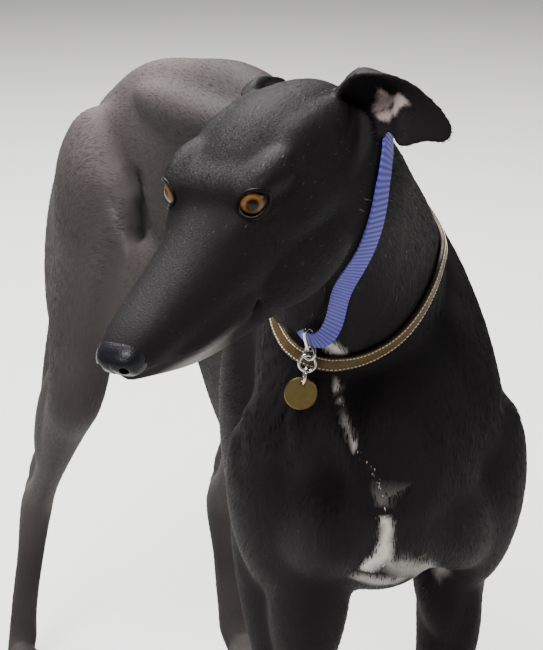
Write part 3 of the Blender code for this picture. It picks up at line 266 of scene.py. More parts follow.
# Collars run through these places round the neck, on the skin.
BLUE_COLLAR = [(-0.1141, -0.2508, 0.7036), (-0.1050, -0.2500, 0.7450), (-0.0850, -0.2600, 0.7600),
               (-0.0720, -0.2850, 0.7660), (-0.0760, -0.3100, 0.7600), (-0.0882, -0.3266, 0.7508),
               (-0.0990, -0.3405, 0.7370), (-0.0986, -0.3411, 0.7234), (-0.0990, -0.3322, 0.6944),
               (-0.0952, -0.2889, 0.6460), (-0.0810, -0.2343, 0.5956), (-0.0921, -0.2107, 0.6256),
               (-0.1071, -0.2307, 0.6656)]
SLACK_AT = Vector((-0.0810, -0.2343, 0.5956))
BLUE_WIDTH = 0.0122
BLUE_THICKNESS = 0.0018
LEATHER_COLLAR = [(-0.0500, -0.1550, 0.6350), (-0.0120, -0.1880, 0.6460), (0.0040, -0.2320, 0.6460),
                  (-0.0060, -0.2610, 0.6450), (-0.0175, -0.2676, 0.6338), (-0.0283, -0.2703, 0.6169),
                  (-0.0381, -0.2673, 0.6015), (-0.0494, -0.2626, 0.5912), (-0.0603, -0.2553, 0.5835),
                  (-0.0693, -0.2443, 0.5775), (-0.0780, -0.2322, 0.5745), (-0.0852, -0.2180, 0.5752),
                  (-0.0903, -0.2037, 0.5795), (-0.0925, -0.1820, 0.5930)]
LEATHER_WIDTH = 0.0105
LEATHER_THICKNESS = 0.0028
# Steps round a band and along the curve it is read from, rounds of evening its path, and steps
# either side that it bridges.
BAND_STEPS = 300
PATH_STEPS = 2000
BAND_EVENING = 176
BAND_REACH = 5
# The blue band hangs off the throat by this much, within this reach.
SLACK = 0.0055
SLACK_REACH = 0.025
# Radius of the rings' wire, steps round a ring and its wire, and the keeper's half length, half
# depth and shift.
WIRE = 0.0011
RING_STEPS = (64, 16)
KEEPER_LENGTH = 0.0089
KEEPER_DEPTH = 0.0033
KEEPER_SHIFT = 0.0012
# The tag hangs in front of the swell of the chest, so its chain slants outwards a little.
DROP = Vector((-0.24, -0.02, -0.97)).normalized()
FACING = Vector((-0.41, -0.91, 0.10)).normalized()
CHAIN = ("keeper_ring", "tag_link", "tag_ring_upper", "tag_ring_lower", "tag")
RING_RADII = (0.0045, 0.0055, 0.0058)
TAG_RADIUS = 0.0112
TAG_THICKNESS = 0.0016
TAG_HOLE_DROP = 0.0072
TAG_HOLE_RADIUS = 0.0020
SHARP_ANGLE = math.radians(40)
STRAP_CLEARANCE = 0.0010
# Corners closer than this are one.
MERGE = 1e-5
MILLIMETRES = 1000.0
# Where the camera stands, in the dog's own frame.
CAMERA_PLACE = Vector((-0.613, -1.295, 1.010))
CAMERA_YAW = math.radians(25)
CAMERA_PITCH = math.radians(-19)
PICTURE = (543, 650)
FOCAL_PIXELS = 1900
SENSOR = 36.0
NEAREST = 0.02
# Fineness of the skin, rounds of smoothing it and triangles: trunk, face and feet.
SKIN_VOXEL = 0.0028
SKIN_ROUNDS = 52
FACE_VOXEL = 0.00125
FACE_ROUNDS = 80
FOOT_VOXEL = 0.0014
FOOT_ROUNDS = 5
SKIN_TRIANGLES = 72000
FACE_TRIANGLES = 78000
FOOT_TRIANGLES = 30000
# The skin lies this deep under the coat, on the body and on the face.
COAT_DEPTH = 0.0010
FACE_DEPTH = 0.0004
# Ears are smoothed by this share, and lie at full height this near their middle; the face ends this
# far behind the nose.
EAR_SOFT = 0.10
EAR_REACH = 0.035
FACE_END = 0.25
# The gap at which two skins are joined, and how far the join is evened out.
RIM_GAP = 0.0006
RIM_SMOOTH = 0.006
# Hollows and swellings of the front of the body: pixels along the line, width and depth in metres.
MUSCLES = [
    ([(273, 416), (278, 438), (283, 460)], 0.0060, 0.0070),
    ([(322, 425), (334, 475), (344, 525), (350, 560)], 0.0110, 0.0060),
    ([(398, 448), (405, 495), (408, 540)], 0.0110, 0.0050),
    ([(468, 440), (480, 490), (472, 530)], 0.0260, -0.0010),
    ([(258, 400), (268, 470), (284, 540), (300, 600)], 0.0130, -0.0010),
    ([(128, 165), (138, 205), (140, 245)], 0.0130, 0.0060),
    ([(226, 380), (238, 430), (240, 480)], 0.0090, 0.0030),
]
# Kinds of coat: length and width of a tuft, and how closely tufts stand.
COATS = {
    "head": (0.0040, 0.00050, 2.8),
    "neck": (0.0085, 0.00085, 1.25),
    "torso": (0.0080, 0.00085, 1.0),
    "tail": (0.0090, 0.00085, 1.3),
    "foreleg": (0.0060, 0.00070, 1.3),
    "hindleg": (0.0070, 0.00080, 1.15),
    "paw": (0.0034, 0.00050, 2.2),
    "ear": (0.0032, 0.00045, 2.6),
}
# Marks of the coat, placed on the picture: x, y and half width in pixels. The streak is
# brown, the hollow is painted shade darkening the flank in front of the thigh, and the pink bare skin; the
# others are white.
MARKS = {
    "blaze": [(336, 385, 2.6), (340, 396, 1.9), (345, 412, 1.8), (350, 430, 1.8), (355, 447, 1.8),
              (364, 458, 1.9), (373, 468, 1.9), (379, 481, 2.0), (383, 500, 2.2), (385, 514, 2.8)],
    "tick": [(384, 512, 2.4), (386, 526, 5.5), (387, 545, 5.5), (380, 560, 10.0), (370, 566, 9.0)],
    "throat": [(322, 340, 5), (334, 349, 8), (345, 358, 5)],
    "chest": [(398, 566, 13), (420, 568, 14), (440, 568, 8)],
    "breast": [(362, 578, 9), (380, 582, 10), (398, 580, 8)],
    "streak": [(112, 195, 2), (113, 212, 3), (121, 232, 3), (128, 252, 2)],
    "hollow": [(140, 172, 9), (140, 205, 12), (141, 238, 10)],
    "pink": [(376, 105, 4), (386, 101, 6), (398, 99, 5), (392, 112, 4), (380, 117, 3)],
}
# The width of one pixel at the dog, in metres.
PIXEL = 0.00066
# White marks: the name, how soft the edge is, how far it wanders, and how white it gets.
WHITES = [("blaze", 0.0018, 0.25, 0.72), ("tick", 0.0030, 0.35, 0.90), ("throat", 0.0060, 1.0, 0.80),
          ("chest", 0.0080, 0.6, 0.34), ("breast", 0.0080, 0.6, 0.42)]
TUFTS = 138000
# A tuft: three corners at the root, three half way and a tip, and the faces between them.
TUFT_FACES = [(0, 2, 1), (0, 1, 4, 3), (1, 2, 5, 4), (2, 0, 3, 5), (3, 4, 6), (4, 5, 6), (5, 3, 6)]
TUFT_CORNERS = 7
# The size of a tuft on the unwrap.
TUFT_PATCH = 0.003
# How far a tuft's shine strays from the skin's, from tuft to tuft and from edge to edge.
TUFT_ROUGH = 0.10
TUFT_ROUND = 0.28
# The unwrap is a grid of charts, one to each line of the coat, with its seam on this side.
CHART_GRID = 4
SEAM_SIDE = (0.31, 0.22, 0.93)
# Tufts in one piece of the coat, steps of a line of it, and places looked up at a time.
COAT_PIECE = 19000
GUIDE_STEPS = 40
BLOCK = 8000
TUFT_THICK = 0.30
TUFT_SUNK = 0.0004
# How ragged the coat lies, how far a tuft lifts, the share of pale flecks and white hair's length.
RAGGED = 0.075
TUFT_LIFT = 0.045
FLECK_SHARE = 0.012
WHITE_LENGTH = 0.35
# Colours of the coat and of the bare skin in the ears; the brown is partly the coat's own tone and partly
# painted sunlit sheen.
BLACK = (0.0026, 0.0023, 0.0028)
BROWN_AND_SHEEN = (0.118, 0.101, 0.097)
WHITE = (0.58, 0.54, 0.50)
HAIR_LIGHT = (0.0105, 0.0090, 0.0100)
EAR_PINK = (0.36, 0.275, 0.265)
# How far the bands' edges are rounded, and the webbing's ribs and threads from one to the next.
WEBBING_EDGE = 0.0004
LEATHER_EDGE = 0.0007
RIB_STEP = 0.0038
WEAVE_STEP = 0.00090
# Stitches: from one to the next, in from the edge, share of the step, half width and half height.
STITCH_STEP = 0.0030
STITCH_INSET = 0.0016
STITCH_LENGTH = 0.72
STITCH_GIRTH = (0.00058, 0.00042)
# Lamps: place, the point they face, size, power and colour.
LIGHTS = {
    "key": ((-1.7, -1.6, 3.4), (0.0, 0.0, 0.5), 1.4, 230.0, (0.97, 0.98, 1.0)),
    "top": ((0.2, 1.5, 3.2), (0.0, 0.1, 0.5), 2.2, 520.0, (1.0, 0.99, 0.98)),
    "fill": ((2.6, -1.6, 1.6), (0.0, 0.0, 0.5), 1.6, 30.0, (1.0, 1.0, 1.0)),
}
ROOM_COLOUR = (0.95, 0.97, 1.0, 1.0)
ROOM_STRENGTH = 0.17
FLOOR_SIZE = 20.0


def unit(rows):
    """Rows of directions, each one long."""
    return rows / np.linalg.norm(rows, axis=1)[:, None]


def smooth_rows(rows, count):
    """Rows of numbers, whose first three are a place, read off a smooth curve through them."""
    rows = np.asarray(rows, float)
    steps = np.linalg.norm(np.diff(rows[:, :3], axis=0), axis=1)
    at = np.concatenate([[0.0], np.cumsum(steps)])
    slope = np.gradient(rows, at, axis=0)
    want = np.linspace(0.0, at[-1], count)
    i = np.clip(np.searchsorted(at, want, side="right") - 1, 0, len(at) - 2)
    span = (at[i + 1] - at[i])[:, None]
    t = (want - at[i])[:, None] / span
    return ((2 * t**3 - 3 * t**2 + 1) * rows[i] + (t**3 - 2 * t**2 + t) * span * slope[i]
            + (3 * t**2 - 2 * t**3) * rows[i + 1] + (t**3 - t**2) * span * slope[i + 1])


def tube(bm, rows, side=(1, 0, 0), sides=32, count=40, frame=None):
    """A closed round body along a path: x, y, z, half width, rise, drop and squareness a row."""
    rows = [tuple(row) + (2.0,) * (7 - len(row)) for row in rows]
    line = smooth_rows(rows, count)
    along = unit(np.gradient(line[:, :3], axis=0))
    across = unit(np.asarray(side, float) - along * (along @ np.asarray(side, float))[:, None])
    rise = np.cross(across, along)
    made = bmesh.ops.create_uvsphere(bm, u_segments=sides, v_segments=count + 1, radius=1.0)
    for vert in made["verts"]:
        ring = round(math.acos(max(-1.0, min(1.0, vert.co.z))) / math.pi * (count + 1)) - 1
        angle = math.atan2(vert.co.y, vert.co.x)
        pole = ring < 0 or ring >= count
        ring = min(max(ring, 0), count - 1)
        place = line[ring, :3].copy()
        if not pole:
            half, up, down, power = line[ring, 3:7]
            c, s = math.cos(angle), math.sin(angle)
            place += across[ring] * half * math.copysign(abs(c) ** (2 / power), c)
            place += rise[ring] * (up if s > 0 else down) * math.copysign(abs(s) ** (2 / power), s)
        vert.co = place
    finish_piece(bm, made["verts"], frame)


def spindle(bm, start, end, width, depth, side=(1, 0, 0), frame=None, facets=18):
    """A muscle: an egg-shaped body between two points, its width measured along side."""
    start, end = Vector(start), Vector(end)
    along = (end - start).normalized()
    across = Vector(side) - along * Vector(side).dot(along)
    across.normalize()
    other = along.cross(across)
    turn = Matrix((across, other, along)).transposed()
    made = bmesh.ops.create_uvsphere(bm, u_segments=facets, v_segments=facets - 4, radius=1.0)
    half = (end - start).length / 2
    for vert in made["verts"]:
        size = Vector((vert.co.x * width, vert.co.y * depth, vert.co.z * half))
        vert.co = (start + end) / 2 + turn @ size
    finish_piece(bm, made["verts"], frame)


def finish_piece(bm, verts, frame):
    """Turns a new piece's faces outwards and moves it into its frame."""
    faces = {face for vert in verts for face in vert.link_faces}
    bmesh.ops.recalc_face_normals(bm, faces=list(faces))
    if frame is not None:
        bmesh.ops.transform(bm, matrix=frame, verts=verts)


def torso_flesh(bm):
    """Rib cage, loin, croup, shoulders, thighs' roots and the long muscles of the back."""
    tube(bm, TORSO, sides=40, count=60)
    tube(bm, NECK, side=NECK_SIDE, sides=32, count=40)
    for sign, name in SIDES:
        elbow = Vector((*FORELEGS[name]["elbow"], ELBOW_HEIGHT))
        top = Vector((0.003 + 0.030 * sign, -0.112 - 0.010 * sign, 0.655))
        point = Vector((-0.0275 + 0.0745 * sign, -0.224 - 0.026 * sign, 0.500))
        outward = (1.0, -0.3, 0.0)
        spindle(bm, top, point, 0.022, 0.052, outward)
        spindle(bm, point + Vector((0.004 * sign, 0.008, 0.035)), elbow + Vector((0, -0.015, -0.02)),
                0.034, 0.040, outward)
        spindle(bm, (top + point) / 2 + Vector((0.014 * sign, 0.045, 0.0)),
                elbow + Vector((0.002 * sign, 0.025, -0.01)), 0.026, 0.048, outward)
        spindle(bm, (-0.040 + 0.030 * sign, -0.258, 0.495), elbow + Vector((-0.01 * sign, -0.03, 0.02)),
                0.036, 0.042, outward)
        if FORELEGS[name]["front"]:
            spindle(bm, elbow + Vector((0.004 * sign, -0.075, 0.105)),
                    elbow + Vector((-0.008 * sign, -0.030, -0.095)), 0.032, FORELEGS[name]["front"], outward)
        spindle(bm, (-0.027 + 0.031 * sign, -0.220, 0.610), point + Vector((0, 0.01, -0.01)),
                0.028, 0.036, outward)
        spindle(bm, elbow + Vector((-0.022 * sign, -0.01, 0.05)),
                elbow + Vector((-0.010 * sign, -0.015, -0.07)), 0.024, 0.030, outward)
        hip = Vector(HINDLEGS[name]["hip"])
        stifle = Vector(HINDLEGS[name]["stifle"])
        hock = Vector(HINDLEGS[name]["hock"])
        spindle(bm, (0.010 + 0.026 * sign, -0.06, 0.658), (0.002 + 0.030 * sign, 0.240, 0.664),
                0.026, 0.026)
        spindle(bm, hip + Vector((-0.024 * sign, -0.090, 0.022)), hip + Vector((-0.008 * sign, 0.060, -0.02)),
                0.022, 0.046)
        spindle(bm, hip + Vector((-0.010 * sign, 0.082, 0.0)), stifle + Vector((-0.004 * sign, 0.034, 0.02)),
                0.028, 0.046)
        spindle(bm, hip + Vector((-0.008 * sign, -0.050, 0.0)),
                stifle + Vector((-0.006 * sign, -0.006, 0.015)), 0.030, 0.046)
        spindle(bm, hip + Vector((-0.028 * sign, 0.035, -0.05)), stifle + Vector((-0.016 * sign, 0.02, 0.03)),
                0.028, 0.050)
        spindle(bm, stifle + Vector((0.002 * sign, 0.022, 0.03)), stifle.lerp(hock, 0.72), 0.021, 0.026)
        spindle(bm, (0.037 * sign, 0.142, 0.540), stifle + Vector((-0.014 * sign, -0.024, 0.046)),
                0.014, 0.050)


def foreleg_rows(name):
    """Rows of one foreleg from inside the chest down into its paw."""
    leg = FORELEGS[name]
    places = [(0.45, leg["elbow"]), (0.37, leg["elbow"]), (0.155, leg["wrist"]), (0.075, leg["wrist"]),
              (0.0, leg["paw"])]
    heights = [place[0] for place in places][::-1]
    rows = []
    for z, half, back, front in FORE_GIRTHS:
        half *= float(np.interp(z, (0.20, 0.32), (1.0, leg["girth"])))
        x = float(np.interp(z, heights, [place[1][0] for place in places][::-1]))
        y = float(np.interp(z, heights, [place[1][1] for place in places][::-1]))
        rows.append((x, y, z, half, back, front))
    return rows


def hindleg_rows(name):
    """Rows of one hind leg from the hip by stifle and hock down into its paw."""
    leg = HINDLEGS[name]
    hip, stifle, hock = (Vector(leg[key]) for key in ("hip", "stifle", "hock"))
    foot = Vector((*leg["paw"], 0.0)) + Vector((0, 0.026, 0))
    rows = [
        (hip.x * 0.45, hip.y - 0.012, hip.z + 0.040, 0.010, 0.020, 0.026),
        (hip.x * 0.72, hip.y - 0.008, hip.z + 0.019, 0.018, 0.040, 0.044),
        (*hip, 0.0245, 0.056, 0.056),
        (*hip.lerp(stifle, 0.40), 0.031, 0.069, 0.060),
        (*hip.lerp(stifle, 0.75), 0.030, 0.055, 0.047),
        (*stifle, 0.0265, 0.038, 0.030),
        (*stifle.lerp(hock, 0.25), 0.0222, 0.029, 0.023),
        (*stifle.lerp(hock, 0.50), 0.0172, 0.0215, 0.0180),
        (*stifle.lerp(hock, 0.80), 0.0140, 0.0180, 0.0150),
        (*hock, 0.0165, 0.0240, 0.0190),
        (*hock.lerp(foot, 0.30), 0.0145, 0.0180, 0.0150),
        (*hock.lerp(foot, 0.60), 0.0145, 0.0150, 0.0145),
        (*(hock.lerp(foot, 0.80) + Vector((0, -0.006, 0))), 0.0155, 0.0140, 0.0160),
        (*(foot + Vector((0, -0.016, 0.022))), 0.0150, 0.0120, 0.0150),
    ]
    return rows


def legs_flesh(bm):
    """Four legs with the muscles and tendons of elbow, wrist and hock."""
    for sign, name in SIDES:
        tube(bm, foreleg_rows(name), side=(1.0, -0.25, 0), sides=24, count=50)
        elbow = Vector((*FORELEGS[name]["elbow"], ELBOW_HEIGHT))
        spindle(bm, elbow + Vector((0, 0.030, 0.030)), elbow + Vector((0, 0.026, -0.040)), 0.017, 0.016)
        brawn = FORELEGS[name]["brawn"]
        spindle(bm, elbow + Vector((-brawn * sign, -0.012, 0.055)),
                elbow + Vector((-brawn * 0.4 * sign, -0.014, -0.105)), 0.021, 0.028)
        wrist = Vector((*FORELEGS[name]["wrist"], WRIST_HEIGHT))
        spindle(bm, wrist + Vector((0, 0.012, 0.014)), wrist + Vector((0, 0.013, -0.012)), 0.010, 0.012)
        tube(bm, hindleg_rows(name), sides=24, count=60)
        hock = Vector(HINDLEGS[name]["hock"])
        spindle(bm, hock + Vector((0, 0.014, 0.034)), hock + Vector((0, 0.012, -0.030)), 0.0095, 0.0125)
        middle = hock.lerp(Vector(HINDLEGS[name]["stifle"]), 0.35)
        spindle(bm, hock + Vector((0, 0.022, 0.022)), middle + Vector((0, 0.016, 0.03)), 0.0060, 0.0070)
        spindle(bm, hock + Vector((0, 0.004, 0.006)), middle + Vector((0, 0.004, 0.05)), 0.0048, 0.0150)


def head_frame():
    """From the head's own frame to the world."""
    turn = Matrix.Rotation(HEAD_TURN, 4, "Z") @ Matrix.Rotation(HEAD_DROP, 4, "X")
    turn = turn @ Matrix.Rotation(HEAD_TILT, 4, "Y")
    return Matrix.Translation(HEAD_AT) @ turn @ Matrix.Scale(HEAD_SCALE, 4)


def head_flesh(bm):
    """Skull, muzzle, jaw, brows, cheeks and the upper neck."""
    frame = head_frame()
    skull = [(0, y, (top + low) / 2, half, (top - low) / 2, (top - low) / 2, power)
             for y, top, low, half, power in SKULL]
    tube(bm, skull, sides=36, count=60, frame=frame)
    jaw = [(0, y, low + 0.016, half, 0.016, 0.016, 2.2) for y, low, half in JAW]
    tube(bm, jaw, sides=28, count=50, frame=frame)
    for sign in (-1, 1):
        for start, end, width, depth in HEAD_MUSCLES:
            spindle(bm, (start[0] * sign, *start[1:]), (end[0] * sign, *end[1:]), width, depth, frame=frame)
        place = Vector((EYE_PLACE.x * sign, *EYE_PLACE.yz))
        spindle(bm, place - Vector((0, 0.0125, 0)), place + Vector((0, 0.0125, 0)), 0.0122, 0.0122,
                frame=frame)
    spindle(bm, (-0.042, 0.147, 0.0480), (0.042, 0.147, 0.0480), 0.034, 0.0135, side=(0, 1, 0),
            frame=frame)
    tube(bm, NECK, side=NECK_SIDE, sides=32, count=40)
    spindle(bm, frame @ Vector((0, 0.185, -0.034)), THROAT_END, *THROAT_SIZE)


def placed(name, data):
    """A new object of the scene."""
    obj = bpy.data.objects.new(name, data)
    bpy.context.scene.collection.objects.link(obj)
    return obj


def from_bmesh(name, bm):
    """A scene object of what is in bm."""
    mesh = bpy.data.meshes.new(name)
    bm.to_mesh(mesh)
    bm.free()
    return placed(name, mesh)


def fused(name, bm, voxel, rounds, weight):
    """One smooth mesh object of everything in bm."""
    obj = from_bmesh(name, bm)
    remesh = obj.modifiers.new("skin", "REMESH")
    remesh.mode = "VOXEL"
    remesh.voxel_size = voxel
    remesh.use_smooth_shade = True
    apply_modifiers(obj)
    soften(obj, rounds, weight)
    return obj


def soften(obj, rounds, weight):
    """Relaxes the surface, by as much as weight says at each point."""
    group = obj.vertex_groups.new(name="soft")
    levels = np.round(weight(places_of(obj)) * SOFT_LEVELS).astype(int)
    for level in np.unique(levels):
        group.add(np.flatnonzero(levels == level).tolist(), level / SOFT_LEVELS, "REPLACE")
    relax = obj.modifiers.new("relax", "SMOOTH")
    relax.factor = 0.5
    relax.iterations = rounds
    relax.vertex_group = group.name
    apply_modifiers(obj)


def trunk_weight(places):
    """Full on the trunk, fading to a trace on the legs and tail."""
    fade = np.clip((places[:, 2] - 0.30) / 0.12, 0.0, 1.0)
    tail = np.clip((places[:, 1] - 0.385) / 0.02, 0.0, 1.0)
    return np.maximum(fade * (1.0 - tail), 0.12)


def even_weight(places):
    """The same on every place."""
    return np.ones(len(places))


def apply_modifiers(obj):
    """Replaces an object's mesh with what its modifiers make of it."""
    graph = bpy.context.evaluated_depsgraph_get()
    made = bpy.data.meshes.new_from_object(obj.evaluated_get(graph))
    old = obj.data
    obj.modifiers.clear()
    obj.data = made
    bpy.data.meshes.remove(old)


def keep_largest(obj):
    """Welds the crumbs of earlier cuts and drops all but the largest closed surface."""
    bm = bmesh.new()
    bm.from_mesh(obj.data)
    bmesh.ops.triangulate(bm, faces=bm.faces[:])
    bmesh.ops.remove_doubles(bm, verts=bm.verts[:], dist=MERGE)
    bmesh.ops.dissolve_degenerate(bm, edges=bm.edges[:], dist=MERGE)
    left = set(bm.faces)
    bodies = []
    while left:
        stack = [left.pop()]
        body = []
        while stack:
            face = stack.pop()
            body.append(face)
            for edge in face.edges:
                for other in edge.link_faces:
                    if other in left:
                        left.remove(other)
                        stack.append(other)
        bodies.append(body)
    bodies.sort(key=lambda body: sum(face.calc_area() for face in body))
    for body in bodies[:-1]:
        bmesh.ops.delete(bm, geom=body, context="FACES")
    bm.to_mesh(obj.data)
    bm.free()


def thinned(obj, triangles):
    """Fewer triangles, more of them where the surface bends."""
    now = sum(len(face.vertices) - 2 for face in obj.data.polygons)
    fewer = obj.modifiers.new("fewer", "DECIMATE")
    fewer.ratio = min(1.0, triangles / now)
    apply_modifiers(obj)


def shown(name, bm):
    """A scene object of what is in bm, its faces turned outwards."""
    if bm.calc_volume(signed=True) < 0.0:
        bmesh.ops.reverse_faces(bm, faces=bm.faces[:])
    return from_bmesh(name, bm)


def dressed(obj, material):
    """A piece, smooth and in its finish."""
    obj.data.shade_smooth()
    obj.data.materials.append(material)
    return obj


def carve(obj, tool, solver="EXACT"):
    """Cuts a tool's shape out of an object and removes the tool."""
    step = obj.modifiers.new("carve", "BOOLEAN")
    step.operation = "DIFFERENCE"
    step.solver = solver
    step.object = tool
    apply_modifiers(obj)
    bpy.data.objects.remove(tool, do_unlink=True)


def paw_frame(name, fore):
    """From a foot's own frame, toes forward, to the world."""
    leg = (FORELEGS if fore else HINDLEGS)[name]
    turn = Matrix.Rotation(math.radians(leg["turn"]), 4, "Z")
    return Matrix.Translation((*leg["paw"], 0.0)) @ turn @ Matrix.Scale(1.0 if fore else HINDPAW_SIZE, 4)


def toe_tip(lane, reach):
    """Where a toe ends, in the foot's frame."""
    return Vector((lane * (TOE_STEP + TOE_LEAN), -0.036 - reach, 0.0115))


def paw_flesh(bm, name, fore):
    """One foot with four arched toes, their pads and the large pad behind them."""
    rows = foreleg_rows(name) if fore else hindleg_rows(name)
    tube(bm, [row for row in rows if row[2] < 0.13], sides=24, count=24)
    frame = paw_frame(name, fore)
    spindle(bm, (0, 0.012, 0.040), (0, -0.018, 0.014), 0.018, 0.013, frame=frame)
    spindle(bm, (-0.012, 0.004, 0.008), (0.012, 0.004, 0.008), 0.010, 0.009, side=(0, 1, 0), frame=frame)
    for lane, reach in TOES:
        x = lane * TOE_STEP
        knuckle = Vector((x * 0.92, -0.016 - reach, 0.026))
        tip = toe_tip(lane, reach)
        spindle(bm, (x * 0.7, 0.008, 0.030), knuckle + Vector((0, -0.006, 0.000)), 0.0075, 0.0085,
                frame=frame)
        spindle(bm, knuckle + Vector((0, 0.007, 0.003)), tip + Vector((0, -0.004, -0.002)), 0.0072, 0.0088,
                frame=frame)
        spindle(bm, tip + Vector((0, 0.010, -0.0065)), tip + Vector((0, -0.006, -0.0065)), 0.0062, 0.0060,
                frame=frame)


def ear(name, rows, frame):
    """A curved, cupped sheet of flesh through rows of places."""
    rows = np.array(rows, float) / MILLIMETRES
    long_steps, cross_steps = EAR_STEPS
    fine = np.stack([smooth_rows(row, cross_steps + 1) for row in rows])
    grid = np.stack([smooth_rows(fine[:, i], long_steps + 1) for i in range(cross_steps + 1)], axis=1)
    bm = bmesh.new()
    made = bmesh.ops.create_grid(bm, x_segments=long_steps, y_segments=cross_steps, size=0.5)
    for vert in made["verts"]:
        i = round((vert.co.x + 0.5) * long_steps)
        j = round((vert.co.y + 0.5) * cross_steps)
        vert.co = frame @ Vector(grid[i, j])
    obj = shown(name, bm)
    thick = obj.modifiers.new("thick", "SOLIDIFY")
    thick.thickness = EAR_THICKNESS
    thick.offset = 0.0
    apply_modifiers(obj)
    return obj


def closed_line(points, count):
    """A smooth closed line through places, at even steps."""
    points = np.asarray(points, float)
    again = np.concatenate([points[-3:], points, points[:3]])
    steps = np.linalg.norm(np.diff(again, axis=0), axis=1)
    line = smooth_rows(again, PATH_STEPS)
    at = np.concatenate([[0.0], np.cumsum(steps)])
    share = np.linspace(0.0, at[-1], PATH_STEPS)
    inside = (share >= at[3]) & (share < at[-3])
    line = line[inside]
    pick = np.linspace(0, len(line), count, endpoint=False).astype(int)
    return line[pick]


def skin_tree(skin):
    """A tree of a skin's faces, to find the place on it nearest to another."""
    return BVHTree.FromPolygons([vert.co.copy() for vert in skin.data.vertices],
                                [list(face.vertices) for face in skin.data.polygons])


def strap(name, points, width, thickness, skin, slack, slack_at):
    """A flat band that lies on the neck along a closed line; it hangs off by slack at one place."""
    line = [Vector(place) for place in closed_line(points, BAND_STEPS)]
    count = len(line)
    step_length = sum((line[i] - line[i - 1]).length for i in range(count)) / count
    found = [skin.find_nearest(place) for place in line]
    spots = [item[0] for item in found]
    outward = [item[1] for item in found]
    for _ in range(BAND_EVENING):
        spots = [(spots[i - 1] + spots[i] * 2 + spots[(i + 1) % count]) / 4 for i in range(count)]
        outward = [(outward[i - 1] + outward[i] * 2 + outward[(i + 1) % count]).normalized()
                   for i in range(count)]
    across = []
    for i in range(count):
        along = (spots[(i + 1) % count] - spots[i - 1]).normalized()
        across.append(along.cross(outward[i]).normalized())
        outward[i] = across[i].cross(along).normalized()
    heights = []
    for i in range(count):
        row = []
        for share in (-0.5, -0.25, 0.0, 0.25, 0.5):
            place = spots[i] + across[i] * width * share
            ground = skin.find_nearest(place)[0]
            row.append((ground - place).dot(outward[i]))
        heights.append(max(row))
    height = [max(heights[(i + step) % count] for step in range(-BAND_REACH, BAND_REACH + 1))
              for i in range(count)]
    bm = bmesh.new()
    along_mark, across_mark = (bm.verts.layers.float.new(mark) for mark in ("along", "across"))
    made = bmesh.ops.create_cone(bm, cap_ends=False, segments=count, radius1=1, radius2=1, depth=1)
    for vert in made["verts"]:
        i = round(math.atan2(vert.co.y, vert.co.x) / math.tau * count) % count
        share = 0.5 if vert.co.z > 0 else -0.5
        vert[along_mark] = i * step_length
        vert[across_mark] = share * width
        loose = slack * math.exp(-((spots[i] - slack_at).length / SLACK_REACH) ** 2) if slack_at else 0.0
        rise = height[i] + STRAP_CLEARANCE + thickness / 2 + loose
        vert.co = spots[i] + across[i] * width * share + outward[i] * rise
    obj = shown(name, bm)
    thick = obj.modifiers.new("thick", "SOLIDIFY")
    thick.thickness = thickness
    thick.offset = 0.0
    thick.use_even_offset = True
    apply_modifiers(obj)
    nearest = min(range(count), key=lambda i: (spots[i] - slack_at).length) if slack_at else 0
    loose = slack + height[nearest] + STRAP_CLEARANCE + thickness / 2
    hanger = (spots[nearest] + outward[nearest] * loose, across[nearest], outward[nearest])
    return obj, hanger


def ring(name, centre, across, up, across_radius, up_radius, square=1.0):
    """A closed ring of round wire, wider or taller as asked."""
    across = Vector(across).normalized()
    up = (Vector(up) - across * Vector(up).dot(across)).normalized()
    out = across.cross(up)
    bm = bmesh.new()
    made = bmesh.ops.create_grid(bm, x_segments=RING_STEPS[0], y_segments=RING_STEPS[1], size=0.5)
    for vert in made["verts"]:
        turn = (vert.co.x + 0.5) * math.tau
        roll = (vert.co.y + 0.5) * math.tau
        c, s = (math.copysign(abs(value) ** square, value) for value in (math.cos(turn), math.sin(turn)))
        rim = across * math.cos(turn) + up * math.sin(turn)
        line = across * c * across_radius + up * s * up_radius
        vert.co = Vector(centre) + line + (rim * math.cos(roll) + out * math.sin(roll)) * WIRE
    bmesh.ops.remove_doubles(bm, verts=bm.verts[:], dist=MERGE)
    bmesh.ops.recalc_face_normals(bm, faces=bm.faces[:])
    return shown(name, bm)


def plate(name, turn, radius, depth, facets):
    """A flat round body."""
    bm = bmesh.new()
    bmesh.ops.create_cone(bm, cap_ends=True, segments=facets, radius1=radius, radius2=radius, depth=depth)
    bmesh.ops.transform(bm, matrix=turn, verts=bm.verts[:])
    return shown(name, bm)


def disc(name, centre, face, up):
    """A round tag with a softly turned edge and a hole near its top."""
    face = Vector(face).normalized()
    up = (Vector(up) - face * Vector(up).dot(face)).normalized()
    side = up.cross(face)
    turn = Matrix((side, up, face)).transposed().to_4x4()
    turn.translation = Vector(centre)
    obj = plate(name, turn, TAG_RADIUS, TAG_THICKNESS, 28)
    edge = obj.modifiers.new("edge", "BEVEL")
    edge.width = TAG_THICKNESS * 0.3
    edge.segments = 1
    apply_modifiers(obj)
    hole = turn @ Matrix.Translation((0, TAG_HOLE_DROP, 0))
    carve(obj, plate("cutter", hole, TAG_HOLE_RADIUS, TAG_THICKNESS * 3, 10))
    return obj


def eye_frame(sign):
    """From the eye's own frame, x across, y up, z out of the eye, to the world."""
    place, look = (Vector((value.x * sign, value.y, value.z)) for value in (EYE_PLACE, EYE_LOOK))
    across = Vector((0, 0, 1)).cross(look).normalized()
    turn = Matrix((across, look.cross(across), look)).transposed().to_4x4()
    turn.translation = place
    return head_frame() @ turn


def ball(bm, radius, frame, segments, rings):
    """A ball at the middle of a frame."""
    made = bmesh.ops.create_uvsphere(bm, u_segments=segments, v_segments=rings, radius=radius)
    bmesh.ops.transform(bm, matrix=frame, verts=made["verts"])


